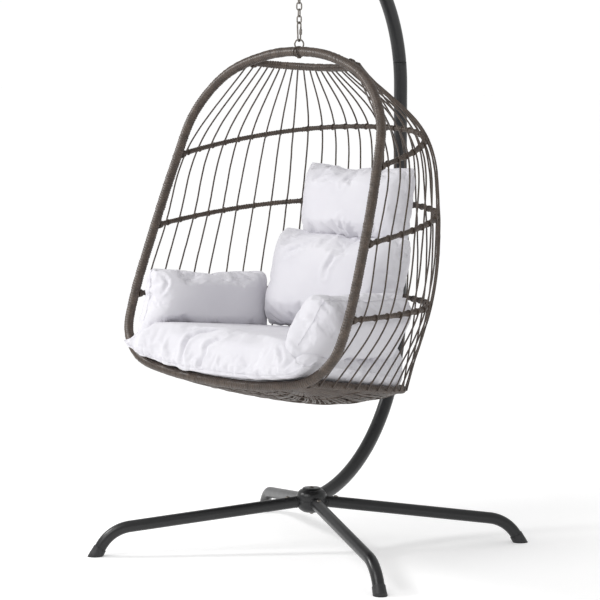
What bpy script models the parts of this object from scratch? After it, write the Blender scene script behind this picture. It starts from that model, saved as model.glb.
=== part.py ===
"""A hanging egg chair: a wrapped basket with cushions, hung by a chain from a C-shaped pole.

Metres, +Z up. The chair hangs in front of the pole and faces -Y, turned a little about its
hanging axis. The origin is on the floor, under the middle of the whole object's box.
"""
from math import acos, asin, atan2, cos, degrees, pi, radians, sin, sqrt, tan

import bmesh
import bpy
from mathutils import Matrix, Vector

# --- Driving dimensions (metres and degrees) ------------------------------------------------
GAP = 0.0003                 # air between pieces that touch
HUB_X, HUB_Y = 0.0145, -0.0137   # hub axis, measured from the middle of the object's box

# Stand
HUB_Z = 0.163                # height of the hub's middle
HUB_RADIUS = 0.048
HUB_TOP, HUB_BOTTOM = 0.036, -0.037
HUB_BORE = 0.0053
SPIGOT_ROOT = 0.012          # how deep a leg's spigot starts inside the hub
SPIGOT_PLAY = 0.0010
BOLT_HOLE = 0.0040
LEG_RADIUS, LEG_WALL = 0.0185, 0.0016
LEG_REACH = 0.6846           # hub axis to the middle of a foot
FRONT_LEG_DROOP, REAR_LEG_DROOP = 7.0, 7.8    # degrees below level
LEG_BEND = 0.122             # middle radius of the bend down to the floor
LEG_SPLAY = 30.0             # a leg's end leans this far out from upright
FRONT_LEG_ANGLE = 49.5       # from straight ahead
REAR_LEG_ANGLE = 46.3        # from straight behind
FOOT_RADIUS, FOOT_LENGTH, FOOT_FLOOR = 0.0218, 0.030, 0.0145   # along the leg's end
POLE_RADIUS, POLE_WALL = 0.022, 0.002
POLE_START_Z = 0.166         # height of the pole's middle where it leaves the hub
POLE_LOW_BEND = 0.552
POLE_Y = 0.5425              # the upright stretch, behind the hub axis
POLE_UPRIGHT_TOP = 1.456
POLE_TOP_BEND = 0.465
POLE_SPLIT_ANGLE = 10.0      # the two lengths meet this far up the top bend
POLE_END_PAST_EYE = 0.045

# Hanger, on the hanging axis
HANG_Y = -0.073              # hanging axis, in front of the hub axis
WIRE = 0.0025                # radius of the eyes' and quick links' wire
EYE_RING = 0.0142            # middle radius of both eyes
EYE_CLEARANCE = 0.0065       # air between the pole and its eye's ring
EYE_SHANK = 0.0040
CHAIN_WIRE = 0.00225
CHAIN_WIDTH = 0.0148         # between the middles of a link's two sides
LINK_COUNT = 6
LINK_TURNS = (16, 118, 44, 121, 20, 90)      # each link's turn about the chain, from the lowest up
QUICK_LINK_LENGTH = 0.059
QUICK_LINK_NARROW, QUICK_LINK_WIDE = 0.0140, 0.0190     # widths of its two round ends
LOWER_LINK_TURN = 105.0
RIM_EYE_TURN = 31.0
RIM_EYE_RISE = 0.0217        # rim's upper side to the middle of the eye's top bar

# Basket, in the chair's own frame: hanging axis at x = y = 0, floor at z = 0
CHAIR_TURN = -16.0
RIM_TOP_Z = 1.575
RIM_TILT = 18.5              # the opening leans back at the top
RIM_LENGTH = 1.049
RIM_RADIUS = 0.015
RIM_BOW = 0.006              # how far the rim's sides stand behind the plane of its top and bottom
RIM_OUTLINE = (              # half width, share of the rim's length from the bottom
    (0.0, 0.0), (0.22, 0.007), (0.405, 0.040), (0.487, 0.110), (0.506, 0.210), (0.498, 0.400),
    (0.472, 0.640), (0.437, 0.800), (0.330, 0.920), (0.165, 0.983), (0.0, 1.0))
HOOP_RADIUS, END_HOOP_RADIUS = 0.008, 0.012      # the end hoops are the top arc and the base ring
END_HOOPS = ("top_arc", "base_ring")
HOOPS = {                    # share of rim length, depth, rise to the back in degrees, fullness
    "top_arc": (0.966, 0.134, -7.5, 2.0),
    "hoop_upper": (0.664, 0.444, 12.2, 2.2),
    "hoop_middle": (0.440, 0.535, 8.3, 2.6),
    "hoop_lower": (0.224, 0.605, -0.4, 2.3),
    "base_ring": (0.034, 0.646, -9.1, 2.3),
}
WALL_THICKNESS = 0.0028      # strand walls and seat pan
STRAND_STEPS = 6             # spans of a strand between two hoops
WALLS = {"weave_top": (0, 1), "weave_upper": (1, 2), "weave_middle": (2, 3), "weave_lower": (3, 4)}
WALL_MARGIN = 0.0145         # a wall stops this far from the middle line of a hoop
WALL_INSET = 0.042           # and this share of the way round short of the rim
SEAT_SAG = 0.050
PAN_HALF = 0.84              # the seat pan's width as a share of the base ring's
PAN_FRONT_MARGIN, PAN_REAR_MARGIN = 0.019, 0.018
SEAT_TOP_FRONT, SEAT_TOP_BACK = 0.726, 0.686
SEAT_CUSHION_FRONT, SEAT_CUSHION_BACK = -0.366, 0.268
SEAT_CUSHION_HALF = 0.420
SEAT_CLEARANCE = 0.006       # air between the seat pan and its cushion
SEAT_NARROWING, SEAT_NARROWING_POWER = 0.60, 2.6     # how its sides close in towards the back
SEAT_SEAM = 0.45             # the seam's share of the cushion's thickness
CUSHIONS = {                 # middle, size, tilt back and turn in degrees
    "arm_cushion_left": ((0.360, -0.088, 0.790), (0.140, 0.390, 0.152), -4, 11),
    "arm_cushion_right": ((-0.368, -0.074, 0.801), (0.136, 0.390, 0.176), -4, -11),
    "back_cushion": ((0.0, 0.162, 0.848), (0.540, 0.165, 0.290), -15, 0),
    "head_cushion": ((0.020, 0.226, 1.102), (0.470, 0.112, 0.228), -8, 0),
}
CUSHION_ROUNDING = 0.040


# --- Scene, materials and meshes ------------------------------------------------------------
def clear_scene():
    for item in list(bpy.data.objects):
        bpy.data.objects.remove(item)


def make_material(name, colour, roughness, metallic=0.0):
    material = bpy.data.materials.new(name)
    material.use_nodes = True
    shader = material.node_tree.nodes["Principled BSDF"]
    shader.inputs["Base Color"].default_value = (*colour, 1)
    shader.inputs["Roughness"].default_value = roughness
    shader.inputs["Metallic"].default_value = metallic
    return material


def make_frame(name, location, parent=None, turn=0.0):
    """An empty that carries the pieces of one body."""
    empty = bpy.data.objects.new(name, None)
    empty.location = location
    empty.rotation_euler.z = radians(turn)
    empty.parent = parent
    bpy.context.scene.collection.objects.link(empty)
    return empty


def add_piece(name, mesh, material, frame, matrix=Matrix()):
    piece = bpy.data.objects.new(name, mesh)
    piece.matrix_basis = matrix
    piece.parent = frame
    mesh.materials.clear()
    mesh.materials.append(material)
    mesh.shade_smooth()
    mesh.set_sharp_from_angle(angle=radians(35))
    bpy.context.scene.collection.objects.link(piece)
    return piece


def add_guide(name, mesh, frame, matrix=Matrix()):
    """A cutter or a body to join: it shapes other pieces and isn't one itself."""
    guide = bpy.data.objects.new(name, mesh)
    guide.matrix_basis = matrix
    guide.parent = frame
    guide.hide_render = True
    guide.display_type = "WIRE"
    bpy.context.scene.collection.objects.link(guide)
    return guide


def combine(piece, guide, operation):
    modifier = piece.modifiers.new(guide.name, "BOOLEAN")
    modifier.operation = operation
    modifier.object = guide
    modifier.solver = "EXACT"


def make_hollow(piece, wall):
    modifier = piece.modifiers.new("wall", "SOLIDIFY")
    modifier.thickness = wall
    modifier.offset = -1
    modifier.use_even_offset = True


def mesh_from(bm, name):
    bmesh.ops.remove_doubles(bm, verts=bm.verts, dist=1e-6)
    bmesh.ops.recalc_face_normals(bm, faces=bm.faces)
    mesh = bpy.data.meshes.new(name)
    bm.to_mesh(mesh)
    bm.free()
    return mesh


def tube_mesh(name, points, radius, sides, closed=False, capped=True):
    """A round tube along the points, made as a bevelled curve."""
    curve = bpy.data.curves.new(name, "CURVE")
    curve.dimensions = "3D"
    curve.bevel_depth = radius
    curve.bevel_resolution = (sides - 4) // 2
    curve.use_fill_caps = capped and not closed
    spline = curve.splines.new("POLY")
    spline.points.add(len(points) - 1)
    for slot, point in zip(spline.points, points):
        slot.co = (*point, 1)
    spline.use_cyclic_u = closed
    holder = bpy.data.objects.new(name, curve)
    bpy.context.scene.collection.objects.link(holder)
    graph = bpy.context.evaluated_depsgraph_get()
    bm = bmesh.new()
    bm.from_mesh(bpy.data.meshes.new_from_object(holder.evaluated_get(graph)))
    bpy.data.objects.remove(holder)
    return mesh_from(bm, name)


def turned_mesh(name, profile, segments):
    """A body turned about Z from (radius, height) points."""
    bm = bmesh.new()
    verts = [bm.verts.new((r, 0, z)) for r, z in profile]
    edges = [bm.edges.new(pair) for pair in zip(verts, verts[1:])]
    bmesh.ops.spin(bm, geom=verts + edges, axis=(0, 0, 1), cent=(0, 0, 0), angle=2 * pi, steps=segments)
    return mesh_from(bm, name)


def rod_mesh(name, radius, low, high, segments=12):
    return turned_mesh(name, [(0, high), (radius, high), (radius, low), (0, low)], segments)


def arc(centre, radius, start, end, steps):
    """Points in a plane along an arc, angles in degrees."""
    points = []
    for step in range(steps + 1):
        angle = radians(start + (end - start) * step / steps)
        points.append((centre[0] + radius * cos(angle), centre[1] + radius * sin(angle)))
    return points


def spline_through(points, steps, closed=False):
    """A centripetal Catmull-Rom curve through the points, with some steps in each span."""
    if closed:
        padded = [points[-1], *points, points[0], points[1]]
    else:
        padded = [2 * points[0] - points[1], *points, 2 * points[-1] - points[-2]]
    curve = []
    for index in range(1, len(padded) - 2):
        a, b, c, d = padded[index - 1:index + 3]
        ab, bc, cd = (sqrt((q - p).length) for p, q in ((a, b), (b, c), (c, d)))
        out_b = b + ((c - b) - (c - a) * bc / (ab + bc) + (b - a) * bc / ab) / 3
        in_c = c - ((c - b) - (d - b) * bc / (bc + cd) + (d - c) * bc / cd) / 3
        for step in range(steps):
            t = step / steps
            u = 1 - t
            curve.append(u**3 * b + 3 * u * u * t * out_b + 3 * u * t * t * in_c + t**3 * c)
    return curve if closed else [*curve, points[-1]]


def at_share(line, share):
    """The point at a share of a polyline's length."""
    lengths = [(q - p).length for p, q in zip(line, line[1:])]
    left = share * sum(lengths)
    for length, p, q in zip(lengths, line, line[1:]):
        if left <= length:
            return p.lerp(q, left / length)
        left -= length
    return line[-1].copy()


def along(direction):
    """A rotation that takes +Z to the direction."""
    return Vector(direction).to_track_quat("Z", "Y").to_matrix().to_4x4()


# --- Stand ----------------------------------------------------------------------------------
def hub_profile(grow=0.0):
    """Half section of the hub: flat top, round shoulders and a tapered underside."""
    shoulder = 0.026 + grow
    top, bottom = HUB_TOP + grow, HUB_BOTTOM - grow
    radius = HUB_RADIUS + grow
    return [(0, top), *arc((radius - shoulder, top - shoulder), shoulder, 90, 0, 5),
            (radius, -0.008), *arc((radius - 0.030, -0.008), 0.030, -20, -60, 3),
            (0.026, bottom), (0, bottom)]


def leg_layout():
    """Name to the direction of each leg, as an angle from +X, and its droop."""
    return {
        "front_left": (-90 + FRONT_LEG_ANGLE, FRONT_LEG_DROOP),
        "front_right": (-90 - FRONT_LEG_ANGLE, FRONT_LEG_DROOP),
        "rear_left": (90 - REAR_LEG_ANGLE, REAR_LEG_DROOP),
        "rear_right": (90 + REAR_LEG_ANGLE, REAR_LEG_DROOP),
    }


def leg_path(droop):
    """Middle line of a leg that points along +X: a drooping run and a bend down to the floor."""
    slope, splay = radians(droop), radians(LEG_SPLAY)
    start = HUB_RADIUS - 0.012
    corner_z = (HUB_Z - tan(slope) * LEG_REACH) / (1 - tan(slope) * tan(splay))
    corner_x = LEG_REACH - corner_z * tan(splay)
    tangent = LEG_BEND * tan((pi / 2 - slope - splay) / 2)
    centre = (corner_x - tangent * cos(slope) - LEG_BEND * sin(slope),
              corner_z + tangent * sin(slope) - LEG_BEND * cos(slope))
    bend = arc(centre, LEG_BEND, 90 - droop, LEG_SPLAY, 6)
    end = FOOT_FLOOR + GAP
    tip = (LEG_REACH - end * sin(splay), end * cos(splay))
    points = [(start, HUB_Z - start * tan(slope)), *bend, tip]
    return [Vector((x, 0, z)) for x, z in points]


def pole_point(station):
    """A point of the pole's middle line: 0 to 1 low bend, 1 to 2 upright, 2 to 3 top bend."""
    if station <= 1:
        angle = radians(-90 + 90 * station)
        y = POLE_Y - POLE_LOW_BEND + POLE_LOW_BEND * cos(angle)
        z = POLE_START_Z + POLE_LOW_BEND + POLE_LOW_BEND * sin(angle)
    elif station <= 2:
        y = POLE_Y
        low_z = POLE_START_Z + POLE_LOW_BEND
        z = low_z + (POLE_UPRIGHT_TOP - low_z) * (station - 1)
    else:
        angle = radians(90 * (station - 2))
        y = POLE_Y - POLE_TOP_BEND + POLE_TOP_BEND * cos(angle)
        z = POLE_UPRIGHT_TOP + POLE_TOP_BEND * sin(angle)
    return Vector((0, y, z))


def pole_path(low, high, steps, square_low=False, square_high=False):
    """Points between two stations. A square end has a last short step, so its cut is true."""
    stations = [low + (high - low) * step / steps for step in range(steps + 1)]
    if square_low:
        stations.insert(1, low + 0.002)
    if square_high:
        stations.insert(-1, high - 0.002)
    return [pole_point(station) for station in stations]


def top_bend_station(y):
    """Where the top bend crosses a distance behind the hub axis."""
    return 2 + acos((y - POLE_Y + POLE_TOP_BEND) / POLE_TOP_BEND) / (pi / 2)


def eye_bar_z():
    """Height of the lowest bar of the pole's eye, where the first quick link hangs."""
    pole = pole_point(top_bend_station(HANG_Y))
    slope = atan2(POLE_Y - POLE_TOP_BEND - HANG_Y, pole.z - POLE_UPRIGHT_TOP)
    underside = pole.z - POLE_RADIUS / cos(slope)
    return underside - EYE_CLEARANCE - WIRE - 2 * EYE_RING


def build_stand(frame, steel, plastic, bolt_steel):
    bore = [(HUB_BORE, HUB_BOTTOM), (HUB_BORE, HUB_TOP)]
    ring = [bore[1], *hub_profile()[1:-1], bore[0], bore[1]]
    middle = Matrix.Translation((0, 0, HUB_Z))
    hub = add_piece("base_hub", turned_mesh("base_hub", ring, 28), steel, frame, middle)
    hub_cutter = add_guide("hub_cutter", turned_mesh("hub_cutter", hub_profile(GAP), 28), frame, middle)
    for name, (angle, droop) in leg_layout().items():
        turn = Matrix.Rotation(radians(angle), 4, "Z")
        build_leg(name, turn, leg_path(droop), frame, hub, hub_cutter, steel, bolt_steel)
        foot_at = turn @ Matrix.Translation((LEG_REACH, 0, 0))
        foot = add_piece(f"foot_{name}", foot_mesh(), plastic, frame,
                         foot_at @ Matrix.Rotation(radians(-LEG_SPLAY), 4, "Y"))
        combine(foot, add_guide(f"floor_{name}", floor_mesh(), frame, foot_at), "DIFFERENCE")
    build_pole(frame, hub, hub_cutter, steel, plastic, bolt_steel)
    build_hub_fasteners(frame, steel, bolt_steel)


def build_leg(name, turn, path, frame, hub, hub_cutter, steel, bolt_steel):
    """A leg over its spigot on the hub, held by one bolt from above."""
    leg = add_piece(f"leg_{name}", tube_mesh("leg", path, LEG_RADIUS, 14, capped=False), steel, frame, turn)
    make_hollow(leg, LEG_WALL)
    combine(leg, hub_cutter, "DIFFERENCE")
    start, bend_start = path[:2]
    axis = (bend_start - start).normalized()
    spigot_at = turn @ Matrix.Translation(start - axis * SPIGOT_ROOT) @ along(axis)
    spigot_mesh = rod_mesh("spigot", LEG_RADIUS - LEG_WALL - SPIGOT_PLAY, 0, 0.075, 14)
    combine(hub, add_guide(f"spigot_{name}", spigot_mesh, frame, spigot_at), "UNION")
    upward = (axis.z, 0, -axis.x)
    bolt_at = turn @ Matrix.Translation(start + axis * 0.040) @ along(upward)
    hole_mesh = rod_mesh("bolt_hole", BOLT_HOLE, -0.004, 0.030)
    hole = add_guide(f"bolt_hole_{name}", hole_mesh, frame, bolt_at)
    combine(leg, hole, "DIFFERENCE")
    combine(hub, hole, "DIFFERENCE")
    add_piece(f"leg_bolt_{name}", bolt_mesh(LEG_RADIUS + GAP, -0.0035), bolt_steel, frame, bolt_at)


def bolt_mesh(head_base, shank_end):
    """A button-head bolt on Z: its head sits past head_base and its shank runs back to shank_end."""
    head = arc((0.0035, head_base), 0.0035, 0, 90, 3)
    profile = [(0, shank_end), (0.0034, shank_end), (0.0034, head_base), (0.0070, head_base), *head[1:],
               (0, head_base + 0.0035)]
    return turned_mesh("bolt", profile, 12)


def foot_mesh():
    """A moulded end cap on Z, flared at its sole. It starts below the floor and is cut flat later."""
    bore = LEG_RADIUS + 2 * GAP
    profile = [(0, -FOOT_RADIUS), (FOOT_RADIUS, -FOOT_RADIUS), (FOOT_RADIUS, 0.010),
               (FOOT_RADIUS - 0.0010, FOOT_LENGTH), (bore, FOOT_LENGTH), (bore, FOOT_FLOOR), (0, FOOT_FLOOR)]
    return turned_mesh("foot", profile, 24)


def floor_mesh():
    """A block that reaches down from the floor, to cut a foot's sole flat."""
    bm = bmesh.new()
    bmesh.ops.create_cube(bm, size=4 * FOOT_LENGTH)
    bmesh.ops.translate(bm, vec=(0, 0, -2 * FOOT_LENGTH), verts=bm.verts)
    return mesh_from(bm, "floor")


def build_pole(frame, hub, hub_cutter, steel, plastic, bolt_steel):
    split = 2 + POLE_SPLIT_ANGLE / 90
    eye = top_bend_station(HANG_Y)
    end = top_bend_station(HANG_Y - POLE_END_PAST_EYE)
    low_start = 0.036 / (POLE_LOW_BEND * pi / 2)
    lower_points = [*pole_path(low_start, 1, 12), *pole_path(2, split, 2, square_high=True)]
    gap_share = GAP / (POLE_TOP_BEND * pi / 2)
    lower_mesh = tube_mesh("pole_lower", lower_points, POLE_RADIUS, 14, capped=False)
    lower = add_piece("pole_lower", lower_mesh, steel, frame)
    upper_points = pole_path(split + gap_share, end, 12, True, True)
    upper_mesh = tube_mesh("pole_upper", upper_points, POLE_RADIUS, 14, capped=False)
    upper = add_piece("pole_upper", upper_mesh, steel, frame)
    for length in (lower, upper):
        make_hollow(length, POLE_WALL)
    combine(lower, hub_cutter, "DIFFERENCE")
    foot, ahead = pole_point(low_start), pole_point(low_start + 0.04)
    spigot_at = Matrix.Translation(foot - Vector((0, 0.012, 0))) @ along(ahead - foot)
    spigot_mesh = rod_mesh("spigot_pole", POLE_RADIUS - 0.0042, 0, 0.05, 14)
    spigot = add_guide("spigot_pole", spigot_mesh, frame, spigot_at)
    combine(hub, spigot, "UNION")

    sleeve_share = 0.055 / (POLE_TOP_BEND * pi / 2)
    sleeve_radius = POLE_RADIUS - POLE_WALL - 0.0020
    sleeve_points = pole_path(split - sleeve_share, split + sleeve_share, 4)
    sleeve_tube = tube_mesh("pole_sleeve", sleeve_points, sleeve_radius, 14, capped=False)
    sleeve = add_piece("pole_sleeve", sleeve_tube, bolt_steel, frame)
    make_hollow(sleeve, POLE_WALL)
    centre, ahead = pole_point(split + sleeve_share / 2), pole_point(split + sleeve_share)
    outward = (ahead - centre).cross(Vector((1, 0, 0))).normalized()
    bolt_at = Matrix.Translation(centre) @ along(outward)
    drill_mesh = rod_mesh("pole_bolt_hole", BOLT_HOLE, 0.004, 0.03)
    drill = add_guide("pole_bolt_hole", drill_mesh, frame, bolt_at)
    for piece in (upper, sleeve):
        combine(piece, drill, "DIFFERENCE")
    add_piece("pole_bolt", bolt_mesh(POLE_RADIUS + GAP, 0.012), bolt_steel, frame, bolt_at)

    before_tip, tip = upper_points[-2:]
    cap_profile = [(0, 0.004), (POLE_RADIUS - 0.003, 0.004), (POLE_RADIUS, 0.002), (POLE_RADIUS, GAP),
                   (POLE_RADIUS - 0.0032, GAP), (POLE_RADIUS - 0.0034, -0.012), (0, -0.012)]
    add_piece("pole_end_cap", turned_mesh("pole_end_cap", cap_profile, 20), plastic, frame,
              Matrix.Translation(tip) @ along(tip - before_tip))
    eye_point = pole_point(eye)
    drill_mesh = rod_mesh("eye_hole", EYE_SHANK + 0.0006, -0.04, 0.04)
    hole = add_guide("eye_hole", drill_mesh, frame, Matrix.Translation(eye_point))
    combine(upper, hole, "DIFFERENCE")


def build_hub_fasteners(frame, steel, bolt_steel):
    ring = [(HUB_BORE, 0.0030), (0.0260, 0.0030), *arc((0.0272, 0.0012), 0.0018, 60, 0, 3), (0.0290, 0.0),
            (HUB_BORE, 0.0), (HUB_BORE, 0.0030)]
    top = HUB_Z + HUB_TOP + GAP
    add_piece("hub_cap", turned_mesh("hub_cap", ring, 20), steel, frame, Matrix.Translation((0, 0, top)))
    bolt_top = top + 0.0030 + GAP
    nut_low = HUB_Z + HUB_BOTTOM - GAP - 0.0050
    profile = [(0, bolt_top + 0.0030), (0.0060, bolt_top + 0.0030), (0.0080, bolt_top + 0.0012),
               (0.0080, bolt_top), (0.0048, bolt_top), (0.0048, nut_low - 0.0030), (0, nut_low - 0.0030)]
    add_piece("hub_bolt", turned_mesh("hub_bolt", profile, 16), bolt_steel, frame)
    nut = [(0.0056, 0.0050), (0.0085, 0.0050), (0.0085, 0.0), (0.0056, 0.0), (0.0056, 0.0050)]
    nut_at = Matrix.Translation((0, 0, nut_low))
    add_piece("hub_nut", turned_mesh("hub_nut", nut, 6), bolt_steel, frame, nut_at)


# --- Hanger ---------------------------------------------------------------------------------
def loop_mesh(name, length, low_width, high_width, wire, steps, sides):
    """A closed wire loop in the XZ plane: two round ends joined by straight sides, bottom at z = 0."""
    low, high = low_width / 2, high_width / 2
    span = length - low - high
    lean = degrees(asin((high - low) / span))
    bottom = arc((0, low), low, -180 - lean, lean, steps)
    top = arc((0, length - high), high, lean, 180 - lean, steps)
    points = [Vector((x, 0, z)) for x, z in bottom + top]
    return tube_mesh(name, points, wire, sides, closed=True)


def sleeve_mesh():
    """The screw sleeve of a quick link: a six-sided nut on Z."""
    bore, flat, half = WIRE + 0.0006, WIRE + 0.0026, 0.008
    profile = [(bore, half), (flat, half), (flat, -half), (bore, -half), (bore, half)]
    return turned_mesh("link_sleeve", profile, 6 * 2)


def add_quick_link(name, frame, bottom_z, turn, steel, flip):
    """A pear-shaped screw link, standing on its narrow end, or hanging on it when flipped."""
    mesh = loop_mesh(name, QUICK_LINK_LENGTH, QUICK_LINK_NARROW, QUICK_LINK_WIDE, WIRE, 6, 8)
    place = Matrix.Translation((0, 0, bottom_z)) @ Matrix.Rotation(radians(turn), 4, "Z")
    if flip:
        place = place @ Matrix.Translation((0, 0, QUICK_LINK_LENGTH)) @ Matrix.Rotation(pi, 4, "X")
    add_piece(name, mesh, steel, frame, place)
    low, high = QUICK_LINK_NARROW / 2, QUICK_LINK_WIDE / 2
    side = Vector(((low + high) / 2, 0, (low + QUICK_LINK_LENGTH - high) / 2))
    lean = asin((high - low) / (QUICK_LINK_LENGTH - low - high))
    sleeve_at = place @ Matrix.Translation(side) @ Matrix.Rotation(lean, 4, "Y")
    add_piece(f"{name}_sleeve", sleeve_mesh(), steel, frame, sleeve_at)


def build_hanger(steel, stand_frame):
    """The eye, quick links and chain. Returns the frame of the basket."""
    bar_z = eye_bar_z()
    pole = pole_point(top_bend_station(HANG_Y))
    eye_frame = make_frame("turn_axis", (0, HANG_Y, bar_z), stand_frame, CHAIR_TURN)
    ring = tube_mesh("pole_eye", ring_points(EYE_RING), WIRE, 8, closed=True)
    quarter = Matrix.Rotation(pi / 2, 4, "Z")
    eye = add_piece("pole_eye", ring, steel, eye_frame, quarter)
    shank_top = pole.z - bar_z + 0.036
    shank_mesh = rod_mesh("eye_shank", EYE_SHANK, 2 * EYE_RING - 0.001, shank_top)
    shank = add_guide("eye_shank", shank_mesh, eye_frame)
    collar_z = 2 * EYE_RING + WIRE - 0.001
    collar_mesh = rod_mesh("eye_collar", 0.0065, collar_z, collar_z + 0.003, 16)
    collar = add_guide("eye_collar", collar_mesh, eye_frame)
    combine(eye, shank, "UNION")
    combine(eye, collar, "UNION")
    bore = EYE_SHANK + 0.0010
    nut = [(bore, 0.006), (0.0085, 0.006), (0.0085, 0), (bore, 0), (bore, 0.006)]
    nut_z = pole.z - bar_z + POLE_RADIUS + 0.0045
    add_piece("pole_eye_nut", turned_mesh("pole_eye_nut", nut, 6), steel, eye_frame,
              Matrix.Translation((0, 0, nut_z)))

    side_frame = make_frame("side_swing_axis", (0, 0, 0), eye_frame)
    link_bar = 2 * WIRE + GAP - QUICK_LINK_LENGTH
    add_quick_link("top_quick_link", side_frame, link_bar, 0, steel, True)

    swing_frame = make_frame("fore_aft_swing_axis", (0, 0, link_bar), side_frame)
    swing_z = bar_z + link_bar
    ring_bar_z = RIM_TOP_Z + RIM_RADIUS + RIM_EYE_RISE
    lower_link_z = ring_bar_z - 2 * WIRE - GAP
    lowest = lower_link_z + QUICK_LINK_LENGTH - WIRE - CHAIN_WIRE - GAP
    highest = swing_z + WIRE + CHAIN_WIRE + GAP
    overlap = 2 * CHAIN_WIRE + GAP
    length = (highest - lowest + (LINK_COUNT - 1) * overlap) / LINK_COUNT
    for index in range(LINK_COUNT):
        low_z = lowest + index * (length - overlap) - swing_z
        place = Matrix.Translation((0, 0, low_z)) @ Matrix.Rotation(radians(LINK_TURNS[index]), 4, "Z")
        mesh = loop_mesh("chain_link", length, CHAIN_WIDTH, CHAIN_WIDTH, CHAIN_WIRE, 5, 6)
        add_piece(f"chain_link_{index + 1}", mesh, steel, swing_frame, place)
    add_quick_link("lower_quick_link", swing_frame, lower_link_z - swing_z, LOWER_LINK_TURN, steel, False)

    tilt_frame = make_frame("tilt_axis", (0, 0, ring_bar_z - swing_z), swing_frame)
    return make_frame("basket_frame", (0, 0, -ring_bar_z), tilt_frame)


def ring_points(radius, steps=20):
    """A circle in the XZ plane that stands on z = 0."""
    return [Vector((x, 0, z)) for x, z in arc((0, radius), radius, 0, 360, steps)[:-1]]


# --- Basket ---------------------------------------------------------------------------------
def rim_point(half_width, height):
    """A point of the leaning, slightly bowed rim, from its outline."""
    drop = height - RIM_LENGTH
    tilt = radians(RIM_TILT)
    bow = RIM_BOW * sin(pi * height / RIM_LENGTH)
    return Vector((half_width, drop * sin(tilt) + bow, RIM_TOP_Z + drop * cos(tilt)))


def rim_line(steps):
    right = [rim_point(x, share * RIM_LENGTH) for x, share in RIM_OUTLINE]
    left = [Vector((-p.x, p.y, p.z)) for p in reversed(right[1:-1])]
    return spline_through(right + left, steps, closed=True)


def rim_half_width(height_share):
    """Half width of the rim's middle line at a share of its length."""
    target = rim_point(0, height_share * RIM_LENGTH).z
    line = rim_line(12)
    for p, q in zip(line, line[1:]):
        if p.x >= 0 and p.z <= target <= q.z:
            return p.lerp(q, (target - p.z) / (q.z - p.z)).x
    return 0.0


def hoop_line(name, steps=48):
    """Middle line of a hoop, from the rim's left side round the back to its right side."""
    share, depth, rise, fullness = HOOPS[name]
    start = rim_point(0, share * RIM_LENGTH)
    half = rim_half_width(share)
    points = []
    for step in range(steps + 1):
        angle = pi * step / steps
        reach = sin(angle) ** (2 / fullness) * depth if 0 < step < steps else 0.0
        side = abs(cos(angle)) ** (2 / fullness) * half * (1 if cos(angle) >= 0 else -1)
        points.append(start + Vector((side, reach * cos(radians(rise)), reach * sin(radians(rise)))))
    return points


def evenly(line, count):
    return [at_share(line, index / (count - 1)) for index in range(count)]


def wall_mesh(name, upper, lower, columns, rows):
    """A curved wall between two hoops, short of both and of the rim."""
    bm = bmesh.new()
    grid = []
    for column in range(columns + 1):
        share = WALL_INSET + (1 - 2 * WALL_INSET) * column / columns
        strand = strand_line(share)
        span = strand[upper * STRAND_STEPS:lower * STRAND_STEPS + 1]
        length = sum((q - p).length for p, q in zip(span, span[1:]))
        edge = WALL_MARGIN / length
        places = [edge + (1 - 2 * edge) * row / rows for row in range(rows + 1)]
        grid.append([bm.verts.new(at_share(span, place)) for place in places])
    for left, right in zip(grid, grid[1:]):
        for row in range(rows):
            bm.faces.new((left[row], left[row + 1], right[row + 1], right[row]))
    return mesh_from(bm, name)


def strand_line(share):
    """A line down the basket's wall, over all its hoops, at a share of the way round."""
    crossings = [at_share(line, share) for line in HOOP_LINES]
    return spline_through(crossings, STRAND_STEPS)


def seat_point(across, back):
    """A point of the seat pan: across runs -1 to 1, back runs 0 at the rim to 1 at the base ring."""
    front = at_share(FRONT_RAIL, (1 + across) / 2)
    rear = at_share(HOOP_LINES[-1], (1 - across) / 2)
    point = front.lerp(rear, back)
    point.z -= SEAT_SAG * (1 - across**2) * 4 * back * (1 - back)
    return point


def seat_grid(columns, rows):
    """Rows of seat points, kept clear of the rim and the base ring."""
    grid = []
    for column in range(columns + 1):
        across = PAN_HALF * (2 * column / columns - 1)
        depth = (seat_point(across, 1) - seat_point(across, 0)).length
        front, rear = PAN_FRONT_MARGIN / depth, PAN_REAR_MARGIN / depth
        backs = [front + (1 - front - rear) * row / rows for row in range(rows + 1)]
        grid.append([seat_point(across, back) for back in backs])
    return grid


def sheet_mesh(name, grid):
    bm = bmesh.new()
    verts = [[bm.verts.new(point) for point in line] for line in grid]
    for left, right in zip(verts, verts[1:]):
        for row in range(len(left) - 1):
            bm.faces.new((left[row], right[row], right[row + 1], left[row + 1]))
    return mesh_from(bm, name)


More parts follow.
